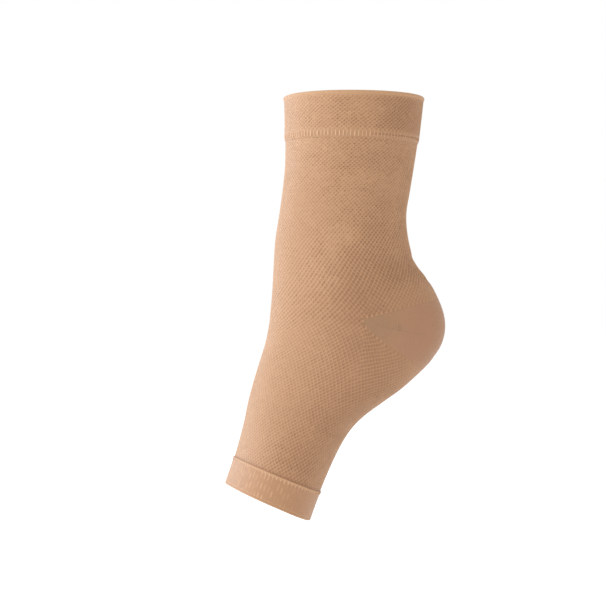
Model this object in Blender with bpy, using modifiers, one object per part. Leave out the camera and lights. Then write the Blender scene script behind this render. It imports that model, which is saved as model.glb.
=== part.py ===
"""A knitted ankle brace, in the form that it has on a right foot.

Metres, +Z up the leg, toes towards -X, heel towards +X, inner side of the foot towards -Y.
The origin is the middle of the ankle.

The brace is knitted in the round, so its surface is a stack of closed courses. A course is
hinged at the side of the foot: its front half crosses the shin or the instep, its back half
the calf or the sole, each with its own reach and tilt. At the heel the back halves fan out
from a tip on each side, which is the pocket that a knitter turns with short rows.
"""

import bpy
import numpy as np

# Outside sizes of the knit, in metres.
LEG_HEIGHT = 0.1095  # middle of the ankle up to the top edge
CALF_DEPTH = 0.0834
CALF_WIDTH = 0.0780
ANKLE_DEPTH = 0.0760
ANKLE_WIDTH = 0.0630
HEEL_DEPTH = 0.1050  # bend of the instep to the back of the heel
HEEL_WIDTH = 0.0660
FOREFOOT_DEPTH = 0.0563
FOREFOOT_WIDTH = 0.0820
FOOT_LENGTH = 0.1223  # tip of the heel pocket to the middle of the foot opening
FOOT_SLOPE = np.radians(27.6)  # foot's axis from the vertical
MOUTH_SKEW = 0.0030  # the inner side of the foot opening lies this much nearer the heel

# The point on each side of the ankle where the heel pocket starts.
TIP_DROP = 0.0242
TIP_BEHIND = 0.0102
TIP_HEIGHT = 0.0024

TOP_CUFF_HEIGHT = 0.0250
FOOT_CUFF_HEIGHT = 0.0170
SLEEVE_WALL = 0.0011
HEEL_WALL = 0.0012
TOP_CUFF_WALL = 0.0018
FOOT_CUFF_WALL = 0.0015
CUFF_ROUNDING = 0.0005
CLEARANCE = 0.0003  # between neighbouring pieces

# The tan yarn of each knit, as linear colours. The heel's plain knit is darker.
CUFF_COLOUR = (0.56, 0.34, 0.20)
MESH_COLOUR = (0.54, 0.33, 0.19)
HEEL_COLOUR = (0.40, 0.24, 0.14)
MESH_ROUGHNESS = 0.90
PLAIN_ROUGHNESS = 0.85

# How finely the surfaces are divided.
COLUMNS = 44  # round a course, a multiple of 4 so that two columns pass through the tips
COURSE_SPACING = 0.0062
TOP_CUFF_COURSES = 4
FOOT_CUFF_COURSES = 3
HEEL_COURSES = 8
CUFF_ROUNDING_STEPS = 2
MEASURING_STEPS = 400  # straight steps along a curve whose length is measured
RIM_ANGLE = np.radians(60)  # edges sharper than this are rims

DEPTHS = {
    "calf": CALF_DEPTH,
    "ankle": ANKLE_DEPTH,
    "heel": HEEL_DEPTH,
    "forefoot": FOREFOOT_DEPTH,
}
WIDTHS = {
    "calf": CALF_WIDTH,
    "ankle": ANKLE_WIDTH,
    "heel": HEEL_WIDTH,
    "forefoot": FOREFOOT_WIDTH,
}

# Courses of the leg, from the top edge to the upper gore of the heel. Height is a share of
# LEG_HEIGHT above the ankle's middle and of TIP_DROP below it, behind a share of TIP_BEHIND.
# Reaches are shares of the zone's depth and half_width of its width. A tilt in degrees lifts
# the front half or drops the back half. Full is how much squarer than an ellipse a half is.
LEG_COLUMNS = ("zone", "height", "behind", "front_reach", "front_tilt", "back_reach",
               "back_tilt", "half_width", "front_full", "back_full")
LEG_COURSES = (
    ("calf", 1.000, 0.29, 0.471, 0.3, 0.520, 0.2, 0.500, 0.04, 0.04),
    ("calf", 0.888, 0.32, 0.470, 0.8, 0.499, 0.8, 0.496, 0.04, 0.04),
    ("calf", 0.773, 0.29, 0.467, 1.3, 0.484, 1.3, 0.486, 0.04, 0.02),
    ("calf", 0.630, 0.21, 0.460, 0.9, 0.466, 0.9, 0.460, 0.03, 0.00),
    ("ankle", 0.493, 0.09, 0.508, 0.4, 0.496, 0.5, 0.532, 0.02, -0.04),
    ("ankle", 0.356, 0.09, 0.536, 0.0, 0.467, 0.0, 0.502, 0.00, -0.07),
    ("ankle", 0.219, 0.29, 0.593, 0.0, 0.458, 0.0, 0.508, 0.00, -0.08),
    ("ankle", 0.082, 0.71, 0.662, 0.0, 0.457, -2.0, 0.526, 0.00, -0.08),
    ("heel", -0.298, 0.97, 0.513, 0.0, 0.384, -10.7, 0.508, 0.00, -0.04),
    ("heel", -1.000, 1.00, 0.529, 0.9, 0.447, -14.7, 0.500, 0.00, 0.02),
)

# Courses of the heel pocket between its two gores. Fan is a share of the angle between them.
# Back_bow is how far the middle of a back half sags below its straight line.
HEEL_COLUMNS = ("fan", "back_reach", "back_full", "back_bow")
HEEL_FAN = (
    (0.22, 0.466, 0.06, 0.004),
    (0.43, 0.473, 0.10, 0.008),
    (0.63, 0.469, 0.14, 0.012),
    (0.82, 0.455, 0.16, 0.018),
)

# Courses of the foot, from the lower gore to the foot opening. Along and across are shares of
# FOOT_LENGTH from the tip, on the foot's axis and towards the sole. Tilts are shares of
# FOOT_SLOPE, and skew is a share of MOUTH_SKEW.
FOOT_COLUMNS = ("zone", "along", "across", "front_reach", "front_tilt", "back_reach",
                "back_tilt", "half_width", "front_full", "back_full", "back_bow", "skew")
FOOT_COURSES = (
    ("heel", 0.000, 0.000, 0.531, 0.02, 0.437, 1.27, 0.500, 0.00, 0.16, 0.023, 0.00),
    ("heel", 0.155, 0.064, 0.541, 0.28, 0.309, 1.34, 0.492, 0.00, 0.16, 0.014, 0.05),
    ("forefoot", 0.291, 0.069, 0.957, 0.42, 0.442, 1.16, 0.400, 0.00, 0.16, 0.010, 0.15),
    ("forefoot", 0.423, 0.050, 0.859, 0.55, 0.364, 0.96, 0.408, 0.00, 0.17, 0.000, 0.30),
    ("forefoot", 0.549, 0.021, 0.740, 0.67, 0.374, 0.68, 0.422, 0.00, 0.18, 0.000, 0.50),
    ("forefoot", 0.688, -0.012, 0.591, 0.71, 0.439, 0.68, 0.450, 0.00, 0.19, 0.000, 0.75),
    ("forefoot", 0.865, -0.008, 0.521, 0.81, 0.459, 0.79, 0.486, 0.00, 0.20, 0.000, 0.95),
    ("forefoot", 1.000, 0.000, 0.494, 0.86, 0.480, 0.85, 0.500, 0.00, 0.20, 0.000, 1.00),
)

# The ankle bones under the knit: behind and above the ankle's middle as shares of ANKLE_DEPTH,
# radius and rise as shares of ANKLE_WIDTH. The inner bone lies further forward and higher.
BONE_COLUMNS = ("side", "behind", "above", "radius", "rise")
ANKLE_BONES = (
    (1, -0.09, 0.09, 0.26, 0.050),
    (-1, 0.07, -0.06, 0.26, 0.055),
)


def named(table, columns):
    """A table as a dictionary of arrays, one for each column."""
    return {name: np.array(values) for name, values in zip(columns, zip(*table))}


def direction(tilt):
    """Unit vectors in (x, z) that point back, and down by the tilt."""
    return np.stack([np.cos(tilt), -np.sin(tilt)], axis=-1)


def spline(points, rows):
    """The smooth curve through evenly numbered points, read at fractional row numbers."""
    rows = np.asarray(rows, float)
    before, after = 2 * points[0] - points[1], 2 * points[-1] - points[-2]
    padded = np.concatenate([[before], points, [after]])
    start = np.clip(rows.astype(int), 0, len(points) - 2)
    step = (rows - start).reshape((-1,) + (1,) * (points.ndim - 1))
    p0, p1, p2, p3 = (padded[start + k] for k in range(4))
    return p1 + 0.5 * step * (p2 - p0 + step * (
        2 * p0 - 5 * p1 + 4 * p2 - p3 + step * (3 * p1 - p0 - 3 * p2 + p3)))


LEG = named(LEG_COURSES, LEG_COLUMNS)
HEEL = named(HEEL_FAN, HEEL_COLUMNS)
FOOT = named(FOOT_COURSES, FOOT_COLUMNS)
BONES = named(ANKLE_BONES, BONE_COLUMNS)
UPPER_GORE = len(LEG_COURSES) - 1
LOWER_GORE = UPPER_GORE + 1
MOUTH = LOWER_GORE + len(FOOT_COURSES) - 1
TIP = np.array([TIP_BEHIND, -TIP_DROP])


def side_points():
    """(x, z) of the side line, where the front and back halves of each course hinge."""
    scale = np.where(LEG["height"] > 0, LEG_HEIGHT, TIP_DROP)
    leg = np.stack([LEG["behind"] * TIP_BEHIND, LEG["height"] * scale], axis=-1)
    axis = direction(FOOT_SLOPE + np.pi / 2) * FOOT_LENGTH
    to_sole = direction(FOOT_SLOPE) * FOOT_LENGTH
    foot = TIP + FOOT["along"][:, None] * axis + FOOT["across"][:, None] * to_sole
    leg[-1, 1] += TIP_HEIGHT / 2
    foot[0, 1] -= TIP_HEIGHT / 2
    return np.concatenate([leg, foot])


def both(name):
    """A column that the leg's and the foot's courses share, from the top edge down."""
    return np.concatenate([LEG[name], FOOT[name]])


def front_points():
    """(x, z) of the outline down the shin and the instep."""
    depth = np.array([DEPTHS[zone] for zone in both("zone")])
    tilt = np.concatenate([np.radians(LEG["front_tilt"]), FOOT["front_tilt"] * FOOT_SLOPE])
    return SIDE - (both("front_reach") * depth)[:, None] * direction(tilt)


def back_points():
    """(x, z) of the outline down the calf, round the heel pocket and along the sole."""
    depth = np.array([DEPTHS[zone] for zone in both("zone")])
    tilt = np.concatenate([np.radians(LEG["back_tilt"]), FOOT["back_tilt"] * FOOT_SLOPE])
    ends = SIDE + (both("back_reach") * depth)[:, None] * direction(tilt)
    upper, lower = tilt[UPPER_GORE], tilt[LOWER_GORE]
    fan = direction(upper + HEEL["fan"] * (lower - upper))
    pocket = TIP + HEEL["back_reach"][:, None] * HEEL_DEPTH * fan
    return np.concatenate([ends[:LOWER_GORE], pocket, ends[LOWER_GORE:]])


SIDE = side_points()
FRONT = front_points()
BACK = back_points()
HALF_WIDTH = both("half_width") * np.array([WIDTHS[zone] for zone in both("zone")])
FRONT_FULL = both("front_full")
BACK_FULL = np.concatenate([LEG["back_full"], HEEL["back_full"], FOOT["back_full"]])
BACK_BOW = np.concatenate([
    np.zeros(len(LEG_COURSES)),
    HEEL["back_bow"] * HEEL_DEPTH,
    FOOT["back_bow"] * np.array([DEPTHS[zone] for zone in FOOT["zone"]]),
])
SKEW = MOUTH_SKEW * np.concatenate([np.zeros(len(LEG_COURSES)), FOOT["skew"]])


def bone_rise(x, z, sine):
    """How far the ankle bones push the knit out: a bell round each bone, on its own side."""
    off_x = x[..., None] - BONES["behind"] * ANKLE_DEPTH
    off_z = z[..., None] - BONES["above"] * ANKLE_DEPTH
    bell = np.exp(-(off_x**2 + off_z**2) / (BONES["radius"] * ANKLE_WIDTH) ** 2)
    own_side = np.clip(BONES["side"] * sine[..., None], 0, None)
    return (BONES["rise"] * ANKLE_WIDTH * bell * own_side).sum(axis=-1)


def loop(side, front, back, half_width, front_full, back_full, back_bow, skew, angles):
    """Points of courses, each a row: angle 0 is the front, a quarter turn the inner side.

    In the side view a point moves on the line from the hinge to the front or the back with
    the cosine of its angle, and the back's line sags as a parabola by its bow. The distance
    from the middle plane follows the sine, swelled by the half's fullness. Skew moves the
    inner side up the foot's axis and the outer side down.
    """
    cosine, sine = np.cos(angles), np.sin(angles)
    ahead = np.clip(cosine, 0, None)[..., None]
    behind = np.clip(-cosine, 0, None)[..., None]
    along = back - side
    below = np.stack([along[..., 1], -along[..., 0]], axis=-1)
    below = below / np.linalg.norm(below, axis=-1, keepdims=True)
    sag = 4 * behind * (1 - behind) * np.asarray(back_bow)[..., None]
    flat = side + ahead * (front - side) + behind * along + sag * below
    flat = flat - (skew * sine)[..., None] * direction(FOOT_SLOPE + np.pi / 2)
    full = np.where(cosine > 0, front_full, back_full)
    out = half_width * sine * (1 + full * cosine**2)
    out = out + sine * bone_rise(flat[..., 0], flat[..., 1], sine)
    return np.stack([flat[..., 0], -out, flat[..., 1]], axis=-1)


def courses(rows, angles):
    """Points of the leg's or the foot's courses at these fractional row numbers."""
    rows = np.asarray(rows, float)
    back_rows = np.where(rows > UPPER_GORE, rows + len(HEEL_FAN), rows)
    spread = [
        spline(values, at)[:, None]
        for values, at in (
            (SIDE, rows), (FRONT, rows), (BACK, back_rows), (HALF_WIDTH, rows),
            (FRONT_FULL, rows), (BACK_FULL, back_rows), (BACK_BOW, back_rows), (SKEW, rows))
    ]
    return loop(*spread, angles)


def pocket(turns, angles):
    """Points of the heel pocket: turn 0 is the upper gore, 1 the lower, one for each angle."""
    back_rows = UPPER_GORE + turns * (len(HEEL_FAN) + 1)
    side = SIDE[UPPER_GORE] + turns[..., None] * (SIDE[LOWER_GORE] - SIDE[UPPER_GORE])
    back = spline(BACK, back_rows.ravel()).reshape(side.shape)
    full = spline(BACK_FULL, back_rows.ravel()).reshape(turns.shape)
    bow = spline(BACK_BOW, back_rows.ravel()).reshape(turns.shape)
    return loop(side, side, back, HALF_WIDTH[UPPER_GORE], 0.0, full, bow, 0.0, angles)


def side_lengths(start, end):
    """Row numbers from one row to another, and the length of the side line up to each."""
    rows = np.linspace(start, end, MEASURING_STEPS)
    steps = np.linalg.norm(np.diff(spline(SIDE, rows), axis=0), axis=1)
    return rows, np.concatenate([[0], np.cumsum(steps)])


def rows_between(start, end, count):
    """Row numbers that divide the side line from one row to another into equal lengths."""
    rows, lengths = side_lengths(start, end)
    return np.interp(np.linspace(0, lengths[-1], count + 1), lengths, rows)


def row_at(start, end, distance):
    """The row number at a distance along the side line from one row towards another."""
    rows, lengths = side_lengths(start, end)
    return np.interp(distance, lengths, rows)


def course_count(start, end):
    """How many courses of the sleeve's spacing fit between two rows."""
    return round(side_lengths(start, end)[1][-1] / COURSE_SPACING)


def grid_faces(rows, columns, closed, open_gore=None):
    """Quads of a grid, facing out. Open_gore leaves out the back half after that row."""
    faces = []
    for row in range(rows - 1):
        for column in range(columns if closed else columns - 1):
            after = (column + 1) % columns
            at_the_back = columns // 4 <= column < 3 * columns // 4
            if row == open_gore and at_the_back:
                continue
            faces.append((row * columns + column, (row + 1) * columns + column,
                          (row + 1) * columns + after, row * columns + after))
    return faces


def knit_material(name, colour, roughness):
    """A Principled material with one linear colour."""
    material = bpy.data.materials.new(name)
    material.use_nodes = True
    shader = material.node_tree.nodes["Principled BSDF"]
    shader.inputs["Base Color"].default_value = (*colour, 1.0)
    shader.inputs["Roughness"].default_value = roughness
    material.diffuse_color = (*colour, 1.0)
    return material


def knit_piece(name, points, faces, wall, material, rounding=0.0):
    """An open knitted surface, thickened so that all inner faces lie on one skin."""
    mesh = bpy.data.meshes.new(name)
    mesh.from_pydata(points.reshape(-1, 3), [], faces)
    mesh.shade_smooth()
    mesh.materials.append(material)
    piece = bpy.data.objects.new(name, mesh)
    thicken = piece.modifiers.new("Wall", "SOLIDIFY")
    thicken.thickness = wall
    thicken.offset = 1 - 2 * SLEEVE_WALL / wall
    thicken.use_even_offset = True
    thicken.use_quality_normals = True
    if rounding:
        edge = piece.modifiers.new("Rounded edges", "BEVEL")
        edge.width = rounding
        edge.segments = CUFF_ROUNDING_STEPS
        edge.limit_method = "ANGLE"
        edge.angle_limit = RIM_ANGLE
    return piece


def angles_round():
    """Angles of the columns round a closed course."""
    return np.arange(COLUMNS) * 2 * np.pi / COLUMNS


def top_cuff(low_row):
    """The turned welt round the leg, from the top edge down to its linking."""
    points = courses(rows_between(0, low_row, TOP_CUFF_COURSES), angles_round())
    faces = grid_faces(TOP_CUFF_COURSES + 1, COLUMNS, True)
    material = knit_material("Folded welt knit", CUFF_COLOUR, MESH_ROUGHNESS)
    return knit_piece("top_cuff", points, faces, TOP_CUFF_WALL, material, CUFF_ROUNDING)


def foot_cuff(high_row):
    """The ribbed elastic band at the foot opening."""
    points = courses(rows_between(high_row, MOUTH, FOOT_CUFF_COURSES), angles_round())
    faces = grid_faces(FOOT_CUFF_COURSES + 1, COLUMNS, True)
    material = knit_material("Ribbed elastic knit", CUFF_COLOUR, PLAIN_ROUGHNESS)
    return knit_piece("foot_cuff", points, faces, FOOT_CUFF_WALL, material, CUFF_ROUNDING)


def ankle_sleeve(top_row, low_row):
    """The mesh knit tube, open at the back between the two gores."""
    leg_count = course_count(top_row, UPPER_GORE)
    rows = np.concatenate([
        rows_between(top_row, UPPER_GORE, leg_count),
        rows_between(LOWER_GORE, low_row, course_count(LOWER_GORE, low_row)),
    ])
    faces = grid_faces(len(rows), COLUMNS, True, open_gore=leg_count)
    material = knit_material("Mesh knit", MESH_COLOUR, MESH_ROUGHNESS)
    return knit_piece("ankle_sleeve", courses(rows, angles_round()), faces, SLEEVE_WALL, material)


def heel_pocket():
    """The short-row heel: its edges follow the sleeve's opening at the clearance."""
    edge = CLEARANCE / np.linalg.norm(BACK[UPPER_GORE] - SIDE[UPPER_GORE])
    angles = np.linspace(np.pi / 2, 3 * np.pi / 2, COLUMNS // 2 + 1)
    angles[[0, -1]] += edge, -edge
    fine = np.linspace(0, 1, MEASURING_STEPS)[:, None] + 0 * angles
    steps = np.linalg.norm(np.diff(pocket(fine, angles), axis=0), axis=2)
    inset = CLEARANCE / steps.sum(axis=0)
    share = np.linspace(0, 1, HEEL_COURSES + 1)[:, None]
    points = pocket(inset + share * (1 - 2 * inset), angles)
    faces = grid_faces(HEEL_COURSES + 1, len(angles), False)
    material = knit_material("Plain heel knit", HEEL_COLOUR, PLAIN_ROUGHNESS)
    return knit_piece("heel_pocket", points, faces, HEEL_WALL, material)


def build():
    for old in list(bpy.data.objects):
        bpy.data.objects.remove(old)
    brace = bpy.data.collections.new("ankle_brace")
    bpy.context.scene.collection.children.link(brace)
    ankle = bpy.data.objects.new("ankle_centre", None)
    brace.objects.link(ankle)
    top_link = row_at(0, UPPER_GORE, TOP_CUFF_HEIGHT)
    sleeve_top = row_at(0, UPPER_GORE, TOP_CUFF_HEIGHT + CLEARANCE)
    foot_link = row_at(MOUTH, LOWER_GORE, FOOT_CUFF_HEIGHT)
    sleeve_end = row_at(MOUTH, LOWER_GORE, FOOT_CUFF_HEIGHT + CLEARANCE)
    pieces = (
        top_cuff(top_link),
        ankle_sleeve(sleeve_top, sleeve_end),
        heel_pocket(),
        foot_cuff(foot_link),
    )
    for piece in pieces:
        brace.objects.link(piece)
        piece.parent = ankle


build()
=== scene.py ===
# %% [markdown]
# # Dressing a knitted ankle brace
#
# This lesson gives a knitted ankle brace its looks. The brace is one elastic tube, knitted in
# the round on a circular machine: a folded welt at the top, a dotted mesh down the leg and
# the foot, a plain heel pocket turned with short rows, and a ribbed elastic band at the toes.
#
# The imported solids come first. They are plain walls with the right size and place, and every
# piece below is laid on them. One unit is one metre, Z points up the leg, the toes point
# towards -X and the inner side of the foot faces -Y.

import bpy
import numpy as np
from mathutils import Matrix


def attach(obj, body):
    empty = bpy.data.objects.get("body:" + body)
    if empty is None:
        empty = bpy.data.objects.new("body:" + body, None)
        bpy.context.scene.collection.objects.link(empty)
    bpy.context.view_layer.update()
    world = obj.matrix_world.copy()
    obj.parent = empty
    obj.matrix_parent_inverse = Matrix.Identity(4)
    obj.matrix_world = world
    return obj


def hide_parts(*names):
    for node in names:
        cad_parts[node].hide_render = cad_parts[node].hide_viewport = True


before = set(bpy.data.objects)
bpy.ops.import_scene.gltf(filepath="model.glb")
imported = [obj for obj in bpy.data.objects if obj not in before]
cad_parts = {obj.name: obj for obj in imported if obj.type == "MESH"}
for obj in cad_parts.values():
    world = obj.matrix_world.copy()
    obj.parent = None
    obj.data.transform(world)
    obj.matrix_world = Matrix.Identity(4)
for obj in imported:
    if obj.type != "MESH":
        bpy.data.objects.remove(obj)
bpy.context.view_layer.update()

print("Solids:", ", ".join(sorted(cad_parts)))

# %% [markdown]
# ## Sizes
#
# A fitter measures a brace like this at four places: calf, ankle, heel and forefoot. The same
# sizes drive the solids, so the fine surfaces made from them lie on the solids everywhere.

# %% Outside sizes of the knit
MM = 0.001
LEG_HEIGHT = 109.5 * MM  # middle of the ankle up to the top edge
CALF_DEPTH, CALF_WIDTH = 83.4 * MM, 78.0 * MM
ANKLE_DEPTH, ANKLE_WIDTH = 76.0 * MM, 63.0 * MM
HEEL_DEPTH, HEEL_WIDTH = 105.0 * MM, 66.0 * MM
FOREFOOT_DEPTH, FOREFOOT_WIDTH = 56.3 * MM, 82.0 * MM
FOOT_LENGTH = 122.3 * MM  # tip of the heel pocket to the middle of the foot opening
FOOT_SLOPE = np.radians(27.6)  # foot's axis from the vertical
MOUTH_SKEW = 3.0 * MM  # the inner side of the foot opening lies this much nearer the heel
TIP_DROP, TIP_BEHIND, TIP_HEIGHT = 24.2 * MM, 10.2 * MM, 2.4 * MM

DEPTHS = dict(calf=CALF_DEPTH, ankle=ANKLE_DEPTH, heel=HEEL_DEPTH, forefoot=FOREFOOT_DEPTH)
WIDTHS = dict(calf=CALF_WIDTH, ankle=ANKLE_WIDTH, heel=HEEL_WIDTH, forefoot=FOREFOOT_WIDTH)
ANKLE_GIRTH = np.pi * (ANKLE_DEPTH + ANKLE_WIDTH) / 2
print(f"Round the ankle: {ANKLE_GIRTH / MM:.0f} mm")

# %% [markdown]
# ## Courses
#
# A course is one round of knitting. Seen from the side it is hinged at the side of the foot:
# its front half crosses the shin or the instep, its back half the calf or the sole. The tables
# give each course a place on the side line and a reach and tilt for each half, as shares of
# the sizes above. Between the two halves of the table the heel pocket fans open.

# %% The tables of courses
LEG_COLUMNS = ("zone", "height", "behind", "front_reach", "front_tilt", "back_reach",
               "back_tilt", "half_width", "front_full", "back_full")
LEG_COURSES = (
    ("calf", 1.000, 0.29, 0.471, 0.3, 0.520, 0.2, 0.500, 0.04, 0.04),
    ("calf", 0.888, 0.32, 0.470, 0.8, 0.499, 0.8, 0.496, 0.04, 0.04),
    ("calf", 0.773, 0.29, 0.467, 1.3, 0.484, 1.3, 0.486, 0.04, 0.02),
    ("calf", 0.630, 0.21, 0.460, 0.9, 0.466, 0.9, 0.460, 0.03, 0.00),
    ("ankle", 0.493, 0.09, 0.508, 0.4, 0.496, 0.5, 0.532, 0.02, -0.04),
    ("ankle", 0.356, 0.09, 0.536, 0.0, 0.467, 0.0, 0.502, 0.00, -0.07),
    ("ankle", 0.219, 0.29, 0.593, 0.0, 0.458, 0.0, 0.508, 0.00, -0.08),
    ("ankle", 0.082, 0.71, 0.662, 0.0, 0.457, -2.0, 0.526, 0.00, -0.08),
    ("heel", -0.298, 0.97, 0.513, 0.0, 0.384, -10.7, 0.508, 0.00, -0.04),
    ("heel", -1.000, 1.00, 0.529, 0.9, 0.447, -14.7, 0.500, 0.00, 0.02),
)
HEEL_COLUMNS = ("fan", "back_reach", "back_full", "back_bow")
HEEL_FAN = (
    (0.22, 0.466, 0.06, 0.004),
    (0.43, 0.473, 0.10, 0.008),
    (0.63, 0.469, 0.14, 0.012),
    (0.82, 0.455, 0.16, 0.018),
)
FOOT_COLUMNS = ("zone", "along", "across", "front_reach", "front_tilt", "back_reach",
                "back_tilt", "half_width", "front_full", "back_full", "back_bow", "skew")
FOOT_COURSES = (
    ("heel", 0.000, 0.000, 0.531, 0.02, 0.437, 1.27, 0.500, 0.00, 0.16, 0.023, 0.00),
    ("heel", 0.155, 0.064, 0.541, 0.28, 0.309, 1.34, 0.492, 0.00, 0.16, 0.014, 0.05),
    ("forefoot", 0.291, 0.069, 0.957, 0.42, 0.442, 1.16, 0.400, 0.00, 0.16, 0.010, 0.15),
    ("forefoot", 0.423, 0.050, 0.859, 0.55, 0.364, 0.96, 0.408, 0.00, 0.17, 0.000, 0.30),
    ("forefoot", 0.549, 0.021, 0.740, 0.67, 0.374, 0.68, 0.422, 0.00, 0.18, 0.000, 0.50),
    ("forefoot", 0.688, -0.012, 0.591, 0.71, 0.439, 0.68, 0.450, 0.00, 0.19, 0.000, 0.75),
    ("forefoot", 0.865, -0.008, 0.521, 0.81, 0.459, 0.79, 0.486, 0.00, 0.20, 0.000, 0.95),
    ("forefoot", 1.000, 0.000, 0.494, 0.86, 0.480, 0.85, 0.500, 0.00, 0.20, 0.000, 1.00),
)
BONE_COLUMNS = ("side", "behind", "above", "radius", "rise")
ANKLE_BONES = (
    (1, -0.09, 0.09, 0.26, 0.050),
    (-1, 0.07, -0.06, 0.26, 0.055),
)


def named(table, columns):
    """A table as a dictionary of arrays, one for each column."""
    return {name: np.array(values) for name, values in zip(columns, zip(*table))}


LEG = named(LEG_COURSES, LEG_COLUMNS)
HEEL = named(HEEL_FAN, HEEL_COLUMNS)
FOOT = named(FOOT_COURSES, FOOT_COLUMNS)
BONES = named(ANKLE_BONES, BONE_COLUMNS)
UPPER_GORE = len(LEG_COURSES) - 1
LOWER_GORE = UPPER_GORE + 1
MOUTH = LOWER_GORE + len(FOOT_COURSES) - 1
print(f"Row {UPPER_GORE} is the heel's upper gore, {LOWER_GORE} the lower, {MOUTH} the toe edge")

# %% [markdown]
# ## From tables to curves
#
# The rows of the tables are knots of smooth curves. A Catmull-Rom spline passes through every
# knot, needs no solving and can be read at any fractional row, for whole arrays at once.

# %% Curves down the brace
def direction(tilt):
    """Unit vectors in (x, z) that point back, and down by the tilt."""
    return np.stack([np.cos(tilt), -np.sin(tilt)], axis=-1)


def spline(points, rows):
    """Catmull-Rom curve through evenly numbered points, read at fractional row numbers."""
    rows = np.asarray(rows, float)
    before, after = 2 * points[0] - points[1], 2 * points[-1] - points[-2]
    padded = np.concatenate([[before], points, [after]])
    start = np.clip(rows.astype(int), 0, len(points) - 2)
    step = (rows - start).reshape(rows.shape + (1,) * (points.ndim - 1))
    p0, p1, p2, p3 = (padded[start + k] for k in range(4))
    return p1 + 0.5 * step * (p2 - p0 + step * (
        2 * p0 - 5 * p1 + 4 * p2 - p3 + step * (3 * p1 - p0 - 3 * p2 + p3)))


def side_points():
    """(x, z) of the side line, where the front and back halves of each course hinge."""
    scale = np.where(LEG["height"] > 0, LEG_HEIGHT, TIP_DROP)
    leg = np.stack([LEG["behind"] * TIP_BEHIND, LEG["height"] * scale], axis=-1)
    axis = direction(FOOT_SLOPE + np.pi / 2) * FOOT_LENGTH
    to_sole = direction(FOOT_SLOPE) * FOOT_LENGTH
    foot = HEEL_TIP + FOOT["along"][:, None] * axis + FOOT["across"][:, None] * to_sole
    leg[-1, 1] += TIP_HEIGHT / 2
    foot[0, 1] -= TIP_HEIGHT / 2
    return np.concatenate([leg, foot])


def both(name):
    """A column that the leg's and the foot's courses share, from the top edge down."""
    return np.concatenate([LEG[name], FOOT[name]])


HEEL_TIP = np.array([TIP_BEHIND, -TIP_DROP])
SIDE = side_points()
DEPTH = np.array([DEPTHS[zone] for zone in both("zone")])
front_tilt = np.concatenate([np.radians(LEG["front_tilt"]), FOOT["front_tilt"] * FOOT_SLOPE])
back_tilt = np.concatenate([np.radians(LEG["back_tilt"]), FOOT["back_tilt"] * FOOT_SLOPE])
FRONT = SIDE - (both("front_reach") * DEPTH)[:, None] * direction(front_tilt)
back_ends = SIDE + (both("back_reach") * DEPTH)[:, None] * direction(back_tilt)
fan_tilt = np.interp(HEEL["fan"], [0, 1], back_tilt[[UPPER_GORE, LOWER_GORE]])
fan_ends = HEEL_TIP + HEEL["back_reach"][:, None] * HEEL_DEPTH * direction(fan_tilt)
BACK = np.concatenate([back_ends[:LOWER_GORE], fan_ends, back_ends[LOWER_GORE:]])
HALF_WIDTH = both("half_width") * np.array([WIDTHS[zone] for zone in both("zone")])
FRONT_FULL = both("front_full")
BACK_FULL = np.concatenate([LEG["back_full"], HEEL["back_full"], FOOT["back_full"]])
BACK_BOW = np.concatenate([
    np.zeros(len(LEG_COURSES)), HEEL["back_bow"] * HEEL_DEPTH,
    FOOT["back_bow"] * DEPTH[LOWER_GORE:]])
SKEW = MOUTH_SKEW * np.concatenate([np.zeros(len(LEG_COURSES)), FOOT["skew"]])
print(f"The curves have {len(SIDE)} knots down the side and {len(BACK)} down the back")

# %% [markdown]
# ## From curves to a surface
#
# A point on the brace has two coordinates, its row and its angle round the course. Angle 0 is
# the front, a quarter turn the inner side. The side view moves with the cosine and the width
# with the sine, so each course is an oval whose halves tilt on their own.

# %% The surface of the leg and the foot
def unit(vectors):
    """The same directions with length one."""
    return vectors / np.linalg.norm(vectors, axis=-1, keepdims=True)


def smooth_step(x):
    """From 0 to 1 with flat ends: 3 x^2 - 2 x^3, where x is first kept between 0 and 1."""
    x = np.clip(x, 0, 1)
    return x * x * (3 - 2 * x)


def facing(angles, side, start, over):
    """How much a point faces the front, or the back where side is -1: a smooth step of
    side x cos(angle), from 0 at start to 1 at start + over."""
    return smooth_step((side * np.cos(angles) - start) / over)


def bell(x, middle, reach):
    """A bell curve: exp(-((x - middle) / reach)^2)."""
    return np.exp(-((x - middle) / reach) ** 2)


def bone_rise(x, z, sine):
    """How far the ankle bones push the knit out: a bell round each bone, on its own side."""
    off_x = x[..., None] - BONES["behind"] * ANKLE_DEPTH
    off_z = z[..., None] - BONES["above"] * ANKLE_DEPTH
    swell = np.exp(-(off_x**2 + off_z**2) / (BONES["radius"] * ANKLE_WIDTH) ** 2)
    own_side = np.clip(BONES["side"] * sine[..., None], 0, None)
    return (BONES["rise"] * ANKLE_WIDTH * swell * own_side).sum(axis=-1)


def loop(side, front, back, half_width, front_full, back_full, back_bow, skew, angles):
    """Points of courses: side + cos(angle) x (front - side) ahead of the side line, the same
    with the back behind it, sagging there as a parabola, and sin(angle) x the half width
    across, swelled by the fullness. Skew moves the inner side up the foot's axis."""
    cosine, sine = np.cos(angles), np.sin(angles)
    ahead = np.clip(cosine, 0, None)[..., None]
    behind = np.clip(-cosine, 0, None)[..., None]
    along = back - side
    below = unit(np.stack([along[..., 1], -along[..., 0]], axis=-1))
    sag = 4 * behind * (1 - behind) * np.asarray(back_bow)[..., None]
    flat = side + ahead * (front - side) + behind * along + sag * below
    flat = flat - (skew * sine)[..., None] * direction(FOOT_SLOPE + np.pi / 2)
    full = np.where(cosine > 0, front_full, back_full)
    out = half_width * sine * (1 + full * cosine**2)
    out = out + sine * bone_rise(flat[..., 0], flat[..., 1], sine)
    return np.stack([flat[..., 0], -out, flat[..., 1]], axis=-1)


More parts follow.
